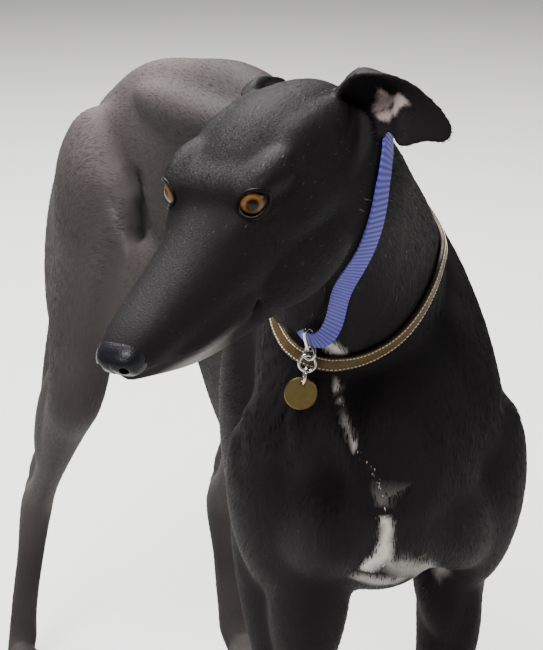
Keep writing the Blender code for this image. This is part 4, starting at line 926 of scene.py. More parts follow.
def add_tag(band, across, out):
    """A keeper ring round the blue collar, then a link, two rings and a round blank tag."""
    touch = WIRE * 2 + GAP * 2
    low_side = across if across.z < 0 else -across
    keeper = band + low_side * KEEPER_SHIFT
    made = [ring("keeper_ring", keeper, across, out, KEEPER_LENGTH, KEEPER_DEPTH, square=0.5)]
    top = keeper + low_side * (KEEPER_LENGTH - touch)
    sides = (across.cross(out), DROP.cross(FACING), FACING)
    for name, radius, side in zip(CHAIN[1:4], RING_RADII, sides):
        middle = top + DROP * radius
        made.append(ring(name, middle, DROP, side, radius, radius))
        top = middle + DROP * (radius - touch)
    hole = top + DROP * (touch + WIRE + GAP - TAG_HOLE_RADIUS)
    return made + [disc("tag", hole + DROP * TAG_HOLE_DROP, FACING, -DROP)]


def look_axes():
    """The camera's right, up and forward."""
    forward = Vector((math.sin(CAMERA_YAW) * math.cos(CAMERA_PITCH),
                      math.cos(CAMERA_YAW) * math.cos(CAMERA_PITCH), math.sin(CAMERA_PITCH)))
    right = Vector((math.cos(CAMERA_YAW), -math.sin(CAMERA_YAW), 0.0))
    return right, right.cross(forward), forward


def on_skin(tree, x, y):
    """The place on a skin that shows at a pixel of the picture."""
    right, up, forward = look_axes()
    ray = (forward + right * ((x - PICTURE[0] / 2) / FOCAL_PIXELS)
           - up * ((y - PICTURE[1] / 2) / FOCAL_PIXELS)).normalized()
    return tree.ray_cast(CAMERA_PLACE, ray)[0]


def places_of(obj, key="co"):
    """The place of every vertex, or what else the key names."""
    values = np.empty(len(obj.data.vertices) * 3)
    obj.data.vertices.foreach_get(key, values)
    return values.reshape(-1, 3)


def normals_of(obj):
    """The normal of every vertex."""
    return places_of(obj, "normal")


def set_places(obj, places):
    """Moves every vertex to its new place."""
    obj.data.vertices.foreach_set("co", np.ascontiguousarray(places, float).ravel())
    obj.data.update()


def in_head(places):
    """World places in the head's own frame."""
    back = np.array(head_frame().inverted())
    return places @ back[:3, :3].T + back[:3, 3]


def near(places, centre, radius):
    """One at a centre, falling smoothly to nothing a few radii away."""
    gap = np.linalg.norm(places - np.asarray(centre, float), axis=1)
    return np.exp(-(gap / radius) ** 2)


def line_gap(places, points):
    """The distance of each place from a line through points, and how far along it lies."""
    points = np.asarray(points, float)
    best = np.full(len(places), 1e9)
    share = np.zeros(len(places))
    count = len(points) - 1
    for i in range(count):
        step = points[i + 1] - points[i]
        t = np.clip((places - points[i]) @ step / (step @ step), 0.0, 1.0)
        gap = np.linalg.norm(places - points[i] - t[:, None] * step, axis=1)
        nearer = gap < best
        best[nearer] = gap[nearer]
        share[nearer] = (i + t[nearer]) / count
    return best, share


def mirrored(local):
    """Places in the head's frame, the right half folded over on the left."""
    return np.concatenate([np.abs(local[:, :1]), local[:, 1:]], axis=1)


def face_weight(places):
    """How far the head's surface is relaxed: little at the ears, lids, nose and lips."""
    local = in_head(places)
    weight = np.ones(len(places))
    weight *= 1.0 - 0.65 * near(mirrored(local), EYE_PLACE, 0.016)
    weight *= 1.0 - 0.75 * near(local, (0.0, 0.004, 0.006), 0.018)
    for name in ("left", "right"):
        gap, _ = line_gap(places, EAR_LINES[name])
        weight = np.minimum(weight, EAR_SOFT + (1 - EAR_SOFT) * np.clip((gap - 0.022) / 0.010, 0.0, 1.0))
    return weight


def ear_frame(name):
    """From an ear's rows to the world."""
    if name == "left":
        return Matrix.Translation(head_frame() @ LEFT_EAR_ROOT) @ Matrix.Rotation(LEFT_EAR_TURN, 4, "Z")
    return head_frame()


def ear_line(name):
    """The middle of an ear from its root to its tip."""
    rows = np.array(LEFT_EAR if name == "left" else RIGHT_EAR, float) / MILLIMETRES
    return [tuple(ear_frame(name) @ Vector(row)) for row in rows.mean(axis=1)]


EAR_LINES = {name: ear_line(name) for name in ("left", "right")}


def smooth(bm, verts):
    """One round of evening out some vertices."""
    bmesh.ops.smooth_vert(bm, verts=verts, factor=0.5, use_axis_x=True, use_axis_y=True,
                          use_axis_z=True)


def graft(base, piece, point, normal, seats):
    """Joins a finer piece to a base where both are cut by one plane; seats are the rims' centres."""
    point = Vector(point)
    normal = Vector(normal).normalized()
    joined = bmesh.new()
    for obj, way in ((base, normal), (piece, -normal)):
        bm = bmesh.new()
        bm.from_mesh(obj.data)
        bmesh.ops.bisect_plane(bm, geom=bm.verts[:] + bm.edges[:] + bm.faces[:], dist=1e-7,
                               plane_co=point - way * RIM_GAP, plane_no=way, clear_outer=True)
        bm.to_mesh(obj.data)
        bm.free()
        joined.from_mesh(obj.data)
    rims = {i: [] for i in range(len(seats))}
    for edge in joined.edges:
        if edge.is_boundary:
            middle = (edge.verts[0].co + edge.verts[1].co) / 2
            if abs((middle - point).dot(normal)) < RIM_GAP * 3:
                rims[min(rims, key=lambda i: (middle - Vector(seats[i])).length)].append(edge)
    for rim in rims.values():
        bmesh.ops.bridge_loops(joined, edges=rim)
    bmesh.ops.triangulate(joined, faces=joined.faces[:])
    bmesh.ops.recalc_face_normals(joined, faces=joined.faces[:])
    band = [vert for vert in joined.verts if abs((vert.co - point).dot(normal)) < RIM_SMOOTH]
    for _ in range(8):
        smooth(joined, band)
    joined.to_mesh(base.data)
    joined.free()
    bpy.data.objects.remove(piece, do_unlink=True)


def cut_eye_opening(head, sign):
    """The almond opening between the lids and the bed of the eyeball."""
    frame = eye_frame(sign)
    bm = bmesh.new()
    made = bmesh.ops.create_uvsphere(bm, u_segments=48, v_segments=24, radius=1.0)
    wide, tall, deep = EYE_OPENING
    for vert in made["verts"]:
        narrow = 1.0 - EYE_NARROW * vert.co.x ** 2
        vert.co = Vector((vert.co.x * wide + EYE_SHIFT * sign, vert.co.y * tall * narrow,
                          vert.co.z * deep + EYE_RADIUS))
    bmesh.ops.transform(bm, matrix=frame, verts=made["verts"])
    carve(head, shown("cutter", bm), solver="MANIFOLD")
    bm = bmesh.new()
    ball(bm, EYE_RADIUS + 0.0001, frame, 48, 32)
    carve(head, shown("cutter", bm), solver="MANIFOLD")


def shape_face(head):
    """Moves that the voxels are too coarse for: lips, whisker beds, brow and the folds by the eye."""
    places = places_of(head)
    normals = normals_of(head)
    local = in_head(places)
    folded = mirrored(local)
    lip = [(0.004, 0.0055, -0.0035)] + [(width, y, z) for (y, z), width in zip(LIP_LINE, LIP_WIDTHS)]
    gap, share = line_gap(folded, lip)
    fade = np.clip(share * 8.0, 0.3, 1.0) * np.clip((1.02 - share) * 12.0, 0.0, 1.0)
    move = -LIP_DEPTH * np.exp(-(gap / 0.0011) ** 2) * fade
    above = local[:, 2] - np.interp(local[:, 1], [y for y, _ in LIP_LINE], [z for _, z in LIP_LINE])
    swell = np.exp(-((above - 0.0045) / 0.0035) ** 2) * (local[:, 1] < 0.10) * (local[:, 1] > 0.010)
    move += 0.0007 * swell * np.clip(folded[:, 0] / 0.010, 0.0, 1.0)
    seam = np.exp(-((local[:, 0]) / 0.0009) ** 2) * (local[:, 1] < 0.012) * (local[:, 2] < 0.0)
    move -= 0.0008 * seam * (local[:, 2] > -0.006)
    for row in range(BEDS[0]):
        for spot in range(BEDS[1]):
            bed = (0.0180 + 0.0008 * spot, 0.018 + 0.0075 * spot, 0.0085 - 0.0048 * row - 0.0012 * spot)
            move += BED_RISE * near(folded, bed, BED_RADIUS)
    for fold, depth, width in EYE_FOLDS:
        gap, _ = line_gap(folded, fold)
        move -= depth * np.exp(-(gap / width) ** 2)
    set_places(head, places + normals * move[:, None])


def shape_trunk(skin):
    """Hollows and swellings of the muscles that the rows are too coarse for."""
    tree = skin_tree(skin)
    places = places_of(skin)
    move = np.zeros(len(places))
    for spots, width, depth in MUSCLES:
        line = [on_skin(tree, x, y) for x, y in spots]
        gap, share = line_gap(places, [spot for spot in line if spot is not None])
        ends = np.clip(share * 4.0, 0.0, 1.0) * np.clip((1.0 - share) * 4.0, 0.0, 1.0)
        move -= depth * np.exp(-(gap / width) ** 2) * ends
    set_places(skin, places + normals_of(skin) * move[:, None])


def make_skin():
    """One closed skin from nose to tail tip, finer on the head and the feet."""
    bm = bmesh.new()
    torso_flesh(bm)
    legs_flesh(bm)
    tube(bm, TAIL, sides=24, count=70)
    skin = fused("skin", bm, SKIN_VOXEL, SKIN_ROUNDS, trunk_weight)
    thinned(skin, SKIN_TRIANGLES)
    bm = bmesh.new()
    head_flesh(bm)
    for name, rows in (("left", LEFT_EAR), ("right", RIGHT_EAR)):
        made = ear("ear_fine", rows, ear_frame(name))
        bm.from_mesh(made.data)
        bpy.data.objects.remove(made, do_unlink=True)
    for sign in (-1, 1):
        ball(bm, LID_RADIUS, eye_frame(sign), 40, 24)
    head = fused("head", bm, FACE_VOXEL, FACE_ROUNDS, face_weight)
    thinned(head, FACE_TRIANGLES)
    shape_face(head)
    for sign in (-1, 1):
        cut_eye_opening(head, sign)
    keep_largest(head)
    feet = []
    bm = bmesh.new()
    for fore, name in FEET:
        paw_flesh(bm, name, fore)
        x, y = (FORELEGS if fore else HINDLEGS)[name]["paw"]
        feet.append((x, y + 0.015, PAW_CUT))
    paws = fused("paws", bm, FOOT_VOXEL, FOOT_ROUNDS, even_weight)
    thinned(paws, FOOT_TRIANGLES)
    graft(skin, head, COLLAR_PLANE[0], COLLAR_PLANE[1], [COLLAR_PLANE[0]])
    graft(skin, paws, (0, 0, PAW_CUT), (0, 0, -1), feet)
    keep_largest(skin)
    shape_trunk(skin)
    places = places_of(skin)
    depth = np.full(len(places), COAT_DEPTH)
    local = in_head(places)
    depth = np.where(local[:, 1] < FACE_END, FACE_DEPTH, depth)
    for name in ("left", "right"):
        gap, _ = line_gap(places, EAR_LINES[name])
        depth = np.where(gap < EAR_REACH, 0.0, depth)
    moved = places - normals_of(skin) * depth[:, None]
    moved[:, 2] = np.maximum(moved[:, 2], 0.0002)
    set_places(skin, moved)
    skin.data.shade_smooth()
    return skin


def guide_lines():
    """Every line of the coat as rows: place, direction of the hair, radius, kind, place in the line."""
    rows = []

    def add(kind, places, radii, droop=0.0):
        """One line of a kind of coat; droop turns its hair down."""
        line = smooth_rows([(*place, radius) for place, radius in zip(places, radii)], GUIDE_STEPS)
        along = unit(np.gradient(line[:, :3], axis=0))
        along[:, 2] -= droop
        chart = max((row[4] for row in rows), default=-1) + 1
        for i in range(len(line)):
            rows.append((line[i, :3], along[i], line[i, 3], list(COATS).index(kind), chart, i / len(line)))

    skull = head_frame()
    add("head", [skull @ Vector((0, y, (top + low) / 2)) for y, top, low, _, _ in SKULL],
        [half * HEAD_SCALE for _, _, _, half, _ in SKULL])
    add("neck", [row[:3] for row in NECK[1:]], [row[3] for row in NECK[1:]])
    add("torso", [(row[0], row[1], row[2] - 0.02) for row in TORSO], [row[3] * 1.3 for row in TORSO], 0.30)
    add("torso", [(-0.030, -0.225, 0.610), (-0.036, -0.250, 0.550), (-0.038, -0.258, 0.490),
                  (-0.028, -0.235, 0.430)], [0.060, 0.070, 0.070, 0.050])
    for sign, name in SIDES:
        elbow = Vector((*FORELEGS[name]["elbow"], ELBOW_HEIGHT))
        add("torso", [(0.010 + 0.045 * sign, -0.125, 0.655), (-0.010 + 0.070 * sign, -0.190, 0.580),
                      (-0.020 + 0.080 * sign, -0.215, 0.500), elbow + Vector((0.010 * sign, -0.03, 0.03))],
            [0.045, 0.050, 0.050, 0.040])
    for name in ("right", "left"):
        fore = foreleg_rows(name)
        add("foreleg", [row[:3] for row in fore], [row[3] * 1.1 for row in fore])
        hind = hindleg_rows(name)
        add("hindleg", [row[:3] for row in hind], [row[3] * 1.1 for row in hind])
        for legs in (FORELEGS, HINDLEGS):
            x, y = legs[name]["paw"]
            add("paw", [(x, y + 0.02, 0.045), (x, y, 0.030), (x, y - 0.025, 0.016), (x, y - 0.045, 0.010)],
                [0.016, 0.020, 0.022, 0.018])
        add("ear", EAR_LINES[name], [0.014] * len(EAR_LINES[name]))
    add("tail", [row[:3] for row in TAIL], [row[3] for row in TAIL])
    return rows


def read_guides(places):
    """The hair's direction, kind, chart and place on the chart's unwrap at each place."""
    centres, ways, radii, kinds, charts, steps = (np.array(part) for part in zip(*guide_lines()))
    flow = np.empty_like(places)
    best = np.empty(len(places), int)
    for start in range(0, len(places), BLOCK):
        block = places[start:start + BLOCK]
        gap = np.linalg.norm(block[:, None, :] - centres[None], axis=2) / radii[None]
        weight = gap ** -5.0
        flow[start:start + BLOCK] = weight @ ways
        best[start:start + BLOCK] = gap.argmin(axis=1)
    out = places - centres[best]
    along = ways[best]
    first = unit(np.cross(along, SEAM_SIDE))
    second = np.cross(along, first)
    angle = np.arctan2((out * second).sum(1), (out * first).sum(1)) / math.tau + 0.5
    return unit(flow), kinds[best], charts[best], angle, steps[best]


def mark_points(tree, marks):
    """The places and half widths of a mark on the skin."""
    found = [(on_skin(tree, x, y), width * PIXEL) for x, y, width in marks]
    return [(place, width) for place, width in found if place is not None]


def mark_amount(places, points, edge, wander):
    """One inside a mark, ragged at its edge."""
    if not points:
        return np.zeros(len(places))
    gap, share = line_gap(places, [place for place, _ in points])
    width = np.interp(share, np.linspace(0, 1, len(points)), [width for _, width in points])
    return np.clip((width + wander - gap) / edge + 0.5, 0.0, 1.0)


def wander_at(places, scale, seed):
    """A soft wandering value at each place, made of a few crossing waves."""
    draw = np.random.default_rng(seed)
    total = np.zeros(len(places))
    for octave in range(3):
        for _ in range(5):
            way = draw.normal(size=3)
            way *= scale * 2 ** octave / np.linalg.norm(way)
            total += np.sin(places @ way + draw.uniform(0, math.tau)) / 2 ** octave
    return total / 5.0


def coat_colours(places, normals, marks):
    """Shade, white and brown of the coat at each place, with painted shade in the flank hollow and painted
    sunlit sheen in the brown of upward faces.
    """
    local = in_head(places)
    wander = wander_at(places, 260.0, 3) * 0.0022
    white = np.zeros(len(places))
    for name, edge, loose, share in WHITES:
        white = np.maximum(white, mark_amount(places, marks[name], edge, wander * loose) * share)
    streak = mark_amount(places, marks["streak"], 0.004, wander * 0.5) * 0.5
    # Painted light: upward faces of the trunk get more brown, a painted sunlit sheen over the coat's own
    # browner tone.
    up = np.clip(normals[:, 2], -0.2, 1.0)
    trunk = np.clip((places[:, 1] - 0.0) / 0.22, 0.0, 1.0)
    low = np.clip((0.30 - places[:, 2]) / 0.2, 0, 1)
    brown_and_sheen = (0.05 + 0.70 * trunk * (0.50 + 0.50 * up)) * (1.0 - 0.5 * low)
    patch = wander_at(places, 34.0, 5)
    brown_and_sheen = np.clip(brown_and_sheen + 0.10 * patch * trunk, 0.0, 1.0)
    chin = np.clip((-0.012 - local[:, 2]) / 0.010, 0, 1) * np.clip((0.085 - local[:, 1]) / 0.03, 0, 1)
    chin *= (np.abs(local[:, 0]) < 0.05) * (local[:, 1] > -0.02) * (local[:, 2] > -0.06)
    grey = 0.34 * chin
    head = (local[:, 1] < 0.27) * (np.abs(local[:, 0]) < 0.06) * (np.abs(local[:, 2]) < 0.09)
    brown_and_sheen = np.where(head, 0.05, brown_and_sheen)
    # Painted shade: the coat is darkened in the hollow in front of the thigh.
    dark = 1.0 - mark_amount(places, marks["hollow"], 0.012, wander) * 0.9
    shade = (0.45 + 0.12 * wander_at(places, 90.0, 8)) * dark
    return np.clip(shade, 0, 1), np.clip(white + grey, 0, 1), np.clip(brown_and_sheen * dark + streak, 0, 1)


def set_colours(obj, colours):
    """A colour for every vertex: shade, white, brown with its painted sheen, and how near a tuft's tip."""
    made = obj.data.color_attributes.new("coat", "FLOAT_COLOR", "POINT")
    made.data.foreach_set("color", np.ascontiguousarray(colours, np.float32).ravel())


def scatter(skin, count, share_of):
    """Random roots over the skin: their places, normals and the triangle that each lies in."""
    mesh = skin.data
    mesh.calc_loop_triangles()
    corners = np.empty(len(mesh.loop_triangles) * 3, int)
    mesh.loop_triangles.foreach_get("vertices", corners)
    corners = corners.reshape(-1, 3)
    places = places_of(skin)
    normals = normals_of(skin)
    a, b, c = (places[corners[:, i]] for i in range(3))
    area = np.linalg.norm(np.cross(b - a, c - a), axis=1) / 2
    middle = (a + b + c) / 3
    chance = area * share_of(middle)
    pick = np.searchsorted(np.cumsum(chance) / chance.sum(), (np.arange(count) + rng.random(count)) / count)
    pick = np.minimum(pick, len(corners) - 1)
    u, v = rng.random((2, count))
    flip = u + v > 1
    u[flip], v[flip] = 1 - u[flip], 1 - v[flip]
    w = 1 - u - v
    tri = corners[pick]
    spots, ups = (values[tri[:, 0]] * w[:, None] + values[tri[:, 1]] * u[:, None]
                  + values[tri[:, 2]] * v[:, None] for values in (places, normals))
    return spots, unit(ups)


def tuft_piece(name, spots, ups, ways, length, width, lift, colours, patches, material):
    """Many short closed tufts as one joined mesh, each lying along the coat."""
    count = len(spots)
    side = unit(np.cross(ups, ways))
    ways = np.cross(side, ups)
    length, width, lift = (value[:, None] for value in (length, width, lift))
    thick = width * TUFT_THICK
    root = spots - ups * TUFT_SUNK
    middle = spots + ways * length * 0.5 + ups * (length * lift * 0.62)
    tip = spots + ways * length + ups * (length * lift * 0.80)
    verts = np.stack([root - side * width / 2, root + side * width / 2, root + ups * thick,
                      middle - side * width * 0.42, middle + side * width * 0.42, middle + ups * thick * 0.8,
                      tip], axis=1)
    sizes = [len(face) for face in TUFT_FACES]
    flat = [corner for face in TUFT_FACES for corner in face]
    corners = (np.array(flat)[None] + TUFT_CORNERS * np.arange(count)[:, None]).ravel()
    mesh = bpy.data.meshes.new(name)
    mesh.vertices.add(count * TUFT_CORNERS)
    mesh.vertices.foreach_set("co", verts.astype(np.float32).ravel())
    mesh.loops.add(len(corners))
    mesh.loops.foreach_set("vertex_index", corners.astype(np.int32))
    starts = (np.cumsum([0] + sizes[:-1])[None] + sum(sizes) * np.arange(count)[:, None]).ravel()
    mesh.polygons.add(count * len(TUFT_FACES))
    mesh.polygons.foreach_set("loop_start", starts.astype(np.int32))
    layer = mesh.uv_layers.new(name="OFBake")
    offsets = np.array([(0, 0), (1, 0), (0.5, 0.2), (0.1, 0.5), (0.9, 0.5), (0.5, 0.6), (0.5, 1)]) - 0.5
    uv = patches[:, None, :] + offsets[None] * TUFT_PATCH
    layer.data.foreach_set("uv", uv.reshape(-1, 2)[corners].astype(np.float32).ravel())
    mesh.update(calc_edges=True)
    obj = placed(name, mesh)
    tone = np.repeat(colours[:, None, :], TUFT_CORNERS, axis=1)
    tone[:, :3, 3] = 0.0
    tone[:, 3:6, 3] = 0.5
    tone[:, 6, 3] = 1.0
    set_colours(obj, tone.reshape(-1, 4))
    mesh.shade_smooth()
    spread = rng.normal(size=(count, 1, 3)) * TUFT_ROUGH
    edges = np.array([-1.0, 1.0, 0.0, -1.0, 1.0, 0.0, 0.0])[None, :, None] * TUFT_ROUND
    shine = ups[:, None, :] + spread + side[:, None, :] * edges
    shine /= np.linalg.norm(shine, axis=2)[:, :, None]
    mesh.normals_split_custom_set_from_vertices(shine.reshape(-1, 3))
    mesh.materials.append(material)
    return obj


def bare(places):
    """Where no hair grows: eye openings, nose and soles."""
    local = in_head(places)
    folded = mirrored(local)
    eye = np.array(EYE_PLACE) + np.array(EYE_LOOK) * EYE_RADIUS
    gap = np.linalg.norm((folded - eye) * (1.0, 1.0, 1.25), axis=1)
    skip = gap < 0.0125
    skip |= np.linalg.norm(folded - EYE_PLACE, axis=1) < EYE_RADIUS + 0.0006
    skip |= (local[:, 1] < 0.026) & (local[:, 2] > -0.0035) & (np.abs(local[:, 0]) < 0.022)
    skip |= places[:, 2] < 0.0035
    return skip


def make_coat(skin, marks, material):
    """Short tufts that lie along the body on every side, smallest on the face and the feet."""
    lengths, widths, shares = (np.array([row[i] for row in COATS.values()]) for i in range(3))

    def share_of(places):
        """How closely tufts stand at each place."""
        _, kinds, _, _, _ = read_guides(places)
        return shares[kinds] * ~bare(places)

    spots, ups = scatter(skin, TUFTS, share_of)
    keep = ~bare(spots) & (mark_amount(spots, marks["pink"], 0.001, 0.0) < 0.5)
    spots, ups = spots[keep], ups[keep]
    flow, kinds, charts, angle, steps = read_guides(spots)
    local = in_head(spots)
    on_muzzle = np.where(kinds == 0, np.clip(0.45 + local[:, 1] * 3.6, 0.45, 1.0), 1.0)
    ragged = rng.normal(size=spots.shape) * RAGGED
    ways = flow + ragged - ups * ((flow + ragged) * ups).sum(1)[:, None]
    ways /= np.linalg.norm(ways, axis=1)[:, None] + 1e-9
    length = lengths[kinds] * on_muzzle * rng.uniform(0.7, 1.25, len(spots))
    width = widths[kinds] * (0.5 + 0.5 * on_muzzle) * rng.uniform(0.75, 1.2, len(spots))
    lift = rng.uniform(0.0, TUFT_LIFT, len(spots))
    shade, white, brown_and_sheen = coat_colours(spots, ups, marks)
    shade = np.clip(shade + rng.normal(size=len(spots)) * 0.10, 0, 1)
    fleck = rng.random(len(spots)) < FLECK_SHARE
    length *= np.where(white > 0.1, WHITE_LENGTH, 1.0)
    white = np.where(rng.random(len(spots)) < white * 1.3, np.clip(white + 0.15, 0, 1), white * 0.5)
    white = np.where(fleck & (kinds < 2), np.maximum(white, 0.10), white)
    colours = np.stack([shade, white, brown_and_sheen, np.zeros(len(spots))], axis=1)
    cell = 1.0 / CHART_GRID
    patches = np.stack([((charts % CHART_GRID) + 0.05 + 0.9 * angle) * cell,
                        ((charts // CHART_GRID) + 0.05 + 0.9 * steps) * cell], axis=1)
    order = np.lexsort((steps, charts))
    pieces = []
    for number, start in enumerate(range(0, len(order), COAT_PIECE)):
        part = order[start:start + COAT_PIECE]
        pieces.append(tuft_piece(f"coat_{number + 1:02d}", spots[part], ups[part], ways[part], length[part],
                                 width[part], lift[part], colours[part], patches[part], material))
    return pieces


class Value:
    """A shader socket that takes part in Python's sums."""

    def __init__(self, maker, socket):
        self.maker = maker
        self.socket = socket

    def sum(self, operation, first, second):
        """One step of arithmetic."""
        return self.maker.node("ShaderNodeMath", {"operation": operation}, {0: first, 1: second})

    def __add__(self, other):
        return self.sum("ADD", self, other)

    def __radd__(self, other):
        return self.sum("ADD", other, self)

    def __sub__(self, other):
        return self.sum("SUBTRACT", self, other)

    def __rsub__(self, other):
        return self.sum("SUBTRACT", other, self)

    def __mul__(self, other):
        return self.sum("MULTIPLY", self, other)

    def __rmul__(self, other):
        return self.sum("MULTIPLY", other, self)

    def __truediv__(self, other):
        return self.sum("DIVIDE", self, other)

    def __pow__(self, other):
        return self.sum("POWER", self, other)


class Maker:
    """Builds one material from nodes."""

    def __init__(self, name, **constants):
        self.material = bpy.data.materials.new(name)
        self.material.use_nodes = True
        self.tree = self.material.node_tree
        self.shader = self.tree.nodes["Principled BSDF"]
        for key, value in constants.items():
            self.shader.inputs[key.replace("_", " ")].default_value = value

    def join(self, socket, value):
        """Gives a socket a value, or another node's output."""
        if isinstance(value, Value):
            self.tree.links.new(value.socket, socket)
        else:
            socket.default_value = value

    def node(self, kind, settings=(), inputs=(), out=0):
        """Any node, with its settings, what its sockets hold and the output that is used."""
        made = self.tree.nodes.new(kind)
        for key, value in dict(settings).items():
            if key == "stops":
                stops = made.color_ramp.elements
                for at, colour in value[1:-1]:
                    stops.new(at).color = (*colour, 1.0)
                stops[0].color = (*value[0][1], 1.0)
                stops[len(stops) - 1].color = (*value[-1][1], 1.0)
            else:
                setattr(made, key, value)
        for key, value in dict(inputs).items():
            self.join(made.inputs[key], value)
        return Value(self, made.outputs[out])

    def mix(self, share, first, second):
        """Two colours, the second by its share."""
        first, second = (value if isinstance(value, Value) else (*value, 1.0) for value in (first, second))
        return self.node("ShaderNodeMix", {"data_type": "RGBA"}, {0: share, 6: first, 7: second}, out=2)

    def attribute(self, name, out=0):
        """A value or colour that the mesh carries."""
        return self.node("ShaderNodeAttribute", {"attribute_name": name}, out=out)

    def places(self, scale=(1.0, 1.0, 1.0)):
        """Places on the piece, in metres."""
        found = self.node("ShaderNodeTexCoord", out="Object")
        return self.node("ShaderNodeMapping", {}, {"Vector": found, "Scale": scale})

    def noise(self, places, scale, detail=3.0):
        """Soft random patches."""
        return self.node("ShaderNodeTexNoise", {}, {"Vector": places, "Scale": scale, "Detail": detail,
                                                    "Roughness": 0.55})

    def pebbles(self, places, scale, softness):
        """Rounded grains, packed closely."""
        return self.node("ShaderNodeTexVoronoi", {"feature": "SMOOTH_F1"},
                         {"Vector": places, "Scale": scale, "Smoothness": softness})

    def ribs(self, along, step):
        """A wave from nought to one with a rib at every step."""
        return self.node("ShaderNodeMath", {"operation": "SINE"}, {0: along * (math.tau / step)}) * 0.5 + 0.5

    def bump(self, height, distance, strength=1.0):
        """A normal for a height; the distance is in metres."""
        return self.node("ShaderNodeBump", {}, {"Height": height, "Distance": distance, "Strength": strength})

    def feed(self, **sockets):
        """Joins values to the shader and gives back the material."""
        for key, value in sockets.items():
            self.join(self.shader.inputs[key.replace("_", " ")], value)
        return self.material


def coat_finish(name, fur):
    """Black coat, browner on the trunk with painted sunlit sheen on its upper faces and painted shade in the
    flank hollow, with white marks; the tufts and the skin share its colours.
    """
    make = Maker(name, Specular_IOR_Level=0.035)
    tones = make.node("ShaderNodeSeparateColor", {}, {0: make.attribute("coat")}, out=0)
    split = tones.socket.node
    shade, white, brown_and_sheen = (Value(make, split.outputs[i]) for i in range(3))
    tip = make.attribute("coat", out=3)
    # The brown carries painted sunlit sheen as well as the coat's own brown.
    colour = make.mix(brown_and_sheen, BLACK, BROWN_AND_SHEEN)
    colour = make.mix(shade * 0.35, colour, HAIR_LIGHT)
    grain = make.noise(make.places((900.0, 900.0, 900.0)), 1.0, 2.0)
    colour = make.mix(white, colour, WHITE)
    if fur:
        colour = make.mix(tip * 0.22, colour, make.mix(brown_and_sheen, HAIR_LIGHT, (0.085, 0.070, 0.061)))
        return make.feed(Base_Color=colour, Roughness=0.52 - shade * 0.08)
    pink = make.attribute("bare", out=2)
    colour = make.mix(pink, colour, EAR_PINK)
    return make.feed(Base_Color=colour, Roughness=0.56 + grain * 0.06,
                     Normal=make.bump(grain, 0.0006, 0.6))


def eye_finish():
    """Amber iris with spokes, a black pupil, a dark ring round the iris and a dim grey white."""
    make = Maker("eye", Coat_Roughness=0.02, Coat_Weight=0.22, Specular_IOR_Level=0.05)
    ring = make.attribute("ring", out=2)
    turn = make.attribute("turn", out=2)
    spokes = make.node("ShaderNodeTexNoise", {"noise_dimensions": "2D"},
                       {"Vector": make.node("ShaderNodeCombineXYZ", {}, {0: turn * 9.0, 1: ring * 1.2}),
                        "Scale": 3.0, "Detail": 3.0})
    band = make.node("ShaderNodeValToRGB", {"stops": [
        (0.0, (0.002, 0.002, 0.003)), (0.37, (0.003, 0.002, 0.003)), (0.43, (0.060, 0.026, 0.008)),
        (0.56, (0.150, 0.066, 0.016)), (0.70, (0.105, 0.044, 0.011)), (0.79, (0.018, 0.009, 0.005)),
        (0.86, (0.008, 0.006, 0.006)), (1.0, (0.05, 0.042, 0.04))]}, {0: ring})
    iris = make.mix(spokes * 0.45, band, make.mix(0.55, band, (0.030, 0.012, 0.004)))
    return make.feed(Base_Color=iris, Roughness=0.30 + spokes * 0.05)


def nose_finish():
    """Black, finely pebbled and slightly damp."""
    make = Maker("nose", Coat_Weight=0.04, Coat_Roughness=0.25, Specular_IOR_Level=0.12)
    places = make.places()
    pebble = make.pebbles(places, 900.0, 0.4)
    patch = make.noise(places, 160.0)
    colour = make.mix(patch, (0.003, 0.003, 0.004), (0.008, 0.008, 0.010))
    return make.feed(Base_Color=colour, Roughness=0.40 - patch * 0.08,
                     Normal=make.bump(1.0 - pebble, 0.00022, 0.6))


def dark_finish(name, colour, lighter, roughness, scale, depth):
    """A dark, nearly even finish with a fine grain."""
    make = Maker(name, Specular_IOR_Level=0.05)
    patch = make.noise(make.places(), scale)
    tone = make.mix(patch, colour, lighter)
    return make.feed(Base_Color=tone, Roughness=roughness + patch * 0.1, Normal=make.bump(patch, depth))


def webbing_finish():
    """Blue nylon webbing: ribs across the band, with a fine weave in each rib; painted shade darkens the
    grooves between ribs.
    """
    make = Maker("webbing", Sheen_Weight=0.1)
    along = make.attribute("along", out=2)
    across = make.attribute("across", out=2)
    rib = make.ribs(along, RIB_STEP)
    weave = make.ribs(across, WEAVE_STEP)
    thread = make.noise(make.places(), 700.0, 2.0)
    height = rib * 0.8 + weave * rib * 0.2
    # Painted shade: the colour is darkest in the grooves between the ribs.
    colour = make.mix(rib, (0.005, 0.004, 0.045), (0.042, 0.038, 0.38))
    colour = make.mix(thread * 0.15, colour, (0.085, 0.085, 0.50))
    return make.feed(Base_Color=colour, Roughness=0.55 + thread * 0.2, Normal=make.bump(height, 0.0005, 0.9))


def leather_finish():
    """Brown leather: fine grain, darker at the edges, rubbed lighter in patches."""
    make = Maker("leather", Specular_IOR_Level=0.12)
    across = make.attribute("across", out=2)
    places = make.places()
    grain = make.pebbles(places, 1400.0, 0.6)
    patch = make.noise(places, 90.0)
    edge = make.node("ShaderNodeMath", {"operation": "ABSOLUTE"}, {0: across}) / (LEATHER_WIDTH / 2)
    colour = make.mix(patch, (0.034, 0.019, 0.0065), (0.078, 0.047, 0.015))
    colour = make.mix(edge ** 6.0 * 0.7, colour, (0.014, 0.008, 0.005))
    return make.feed(Base_Color=colour, Roughness=0.50 - patch * 0.12, Normal=make.bump(grain, 0.0003, 0.6))


def metal_finish(name, colour, darker, roughness):
    """Worn metal with fine scratches."""
    make = Maker(name, Metallic=1.0)
    places = make.places()
    wear = make.noise(places, 260.0, 4.0)
    scratch = make.noise(make.places((300.0, 2600.0, 2600.0)), 1.0, 2.0)
    tone = make.mix(wear, colour, darker)
    return make.feed(Base_Color=tone, Roughness=roughness + wear * 0.18,
                     Normal=make.bump(scratch, 0.00008, 0.4))


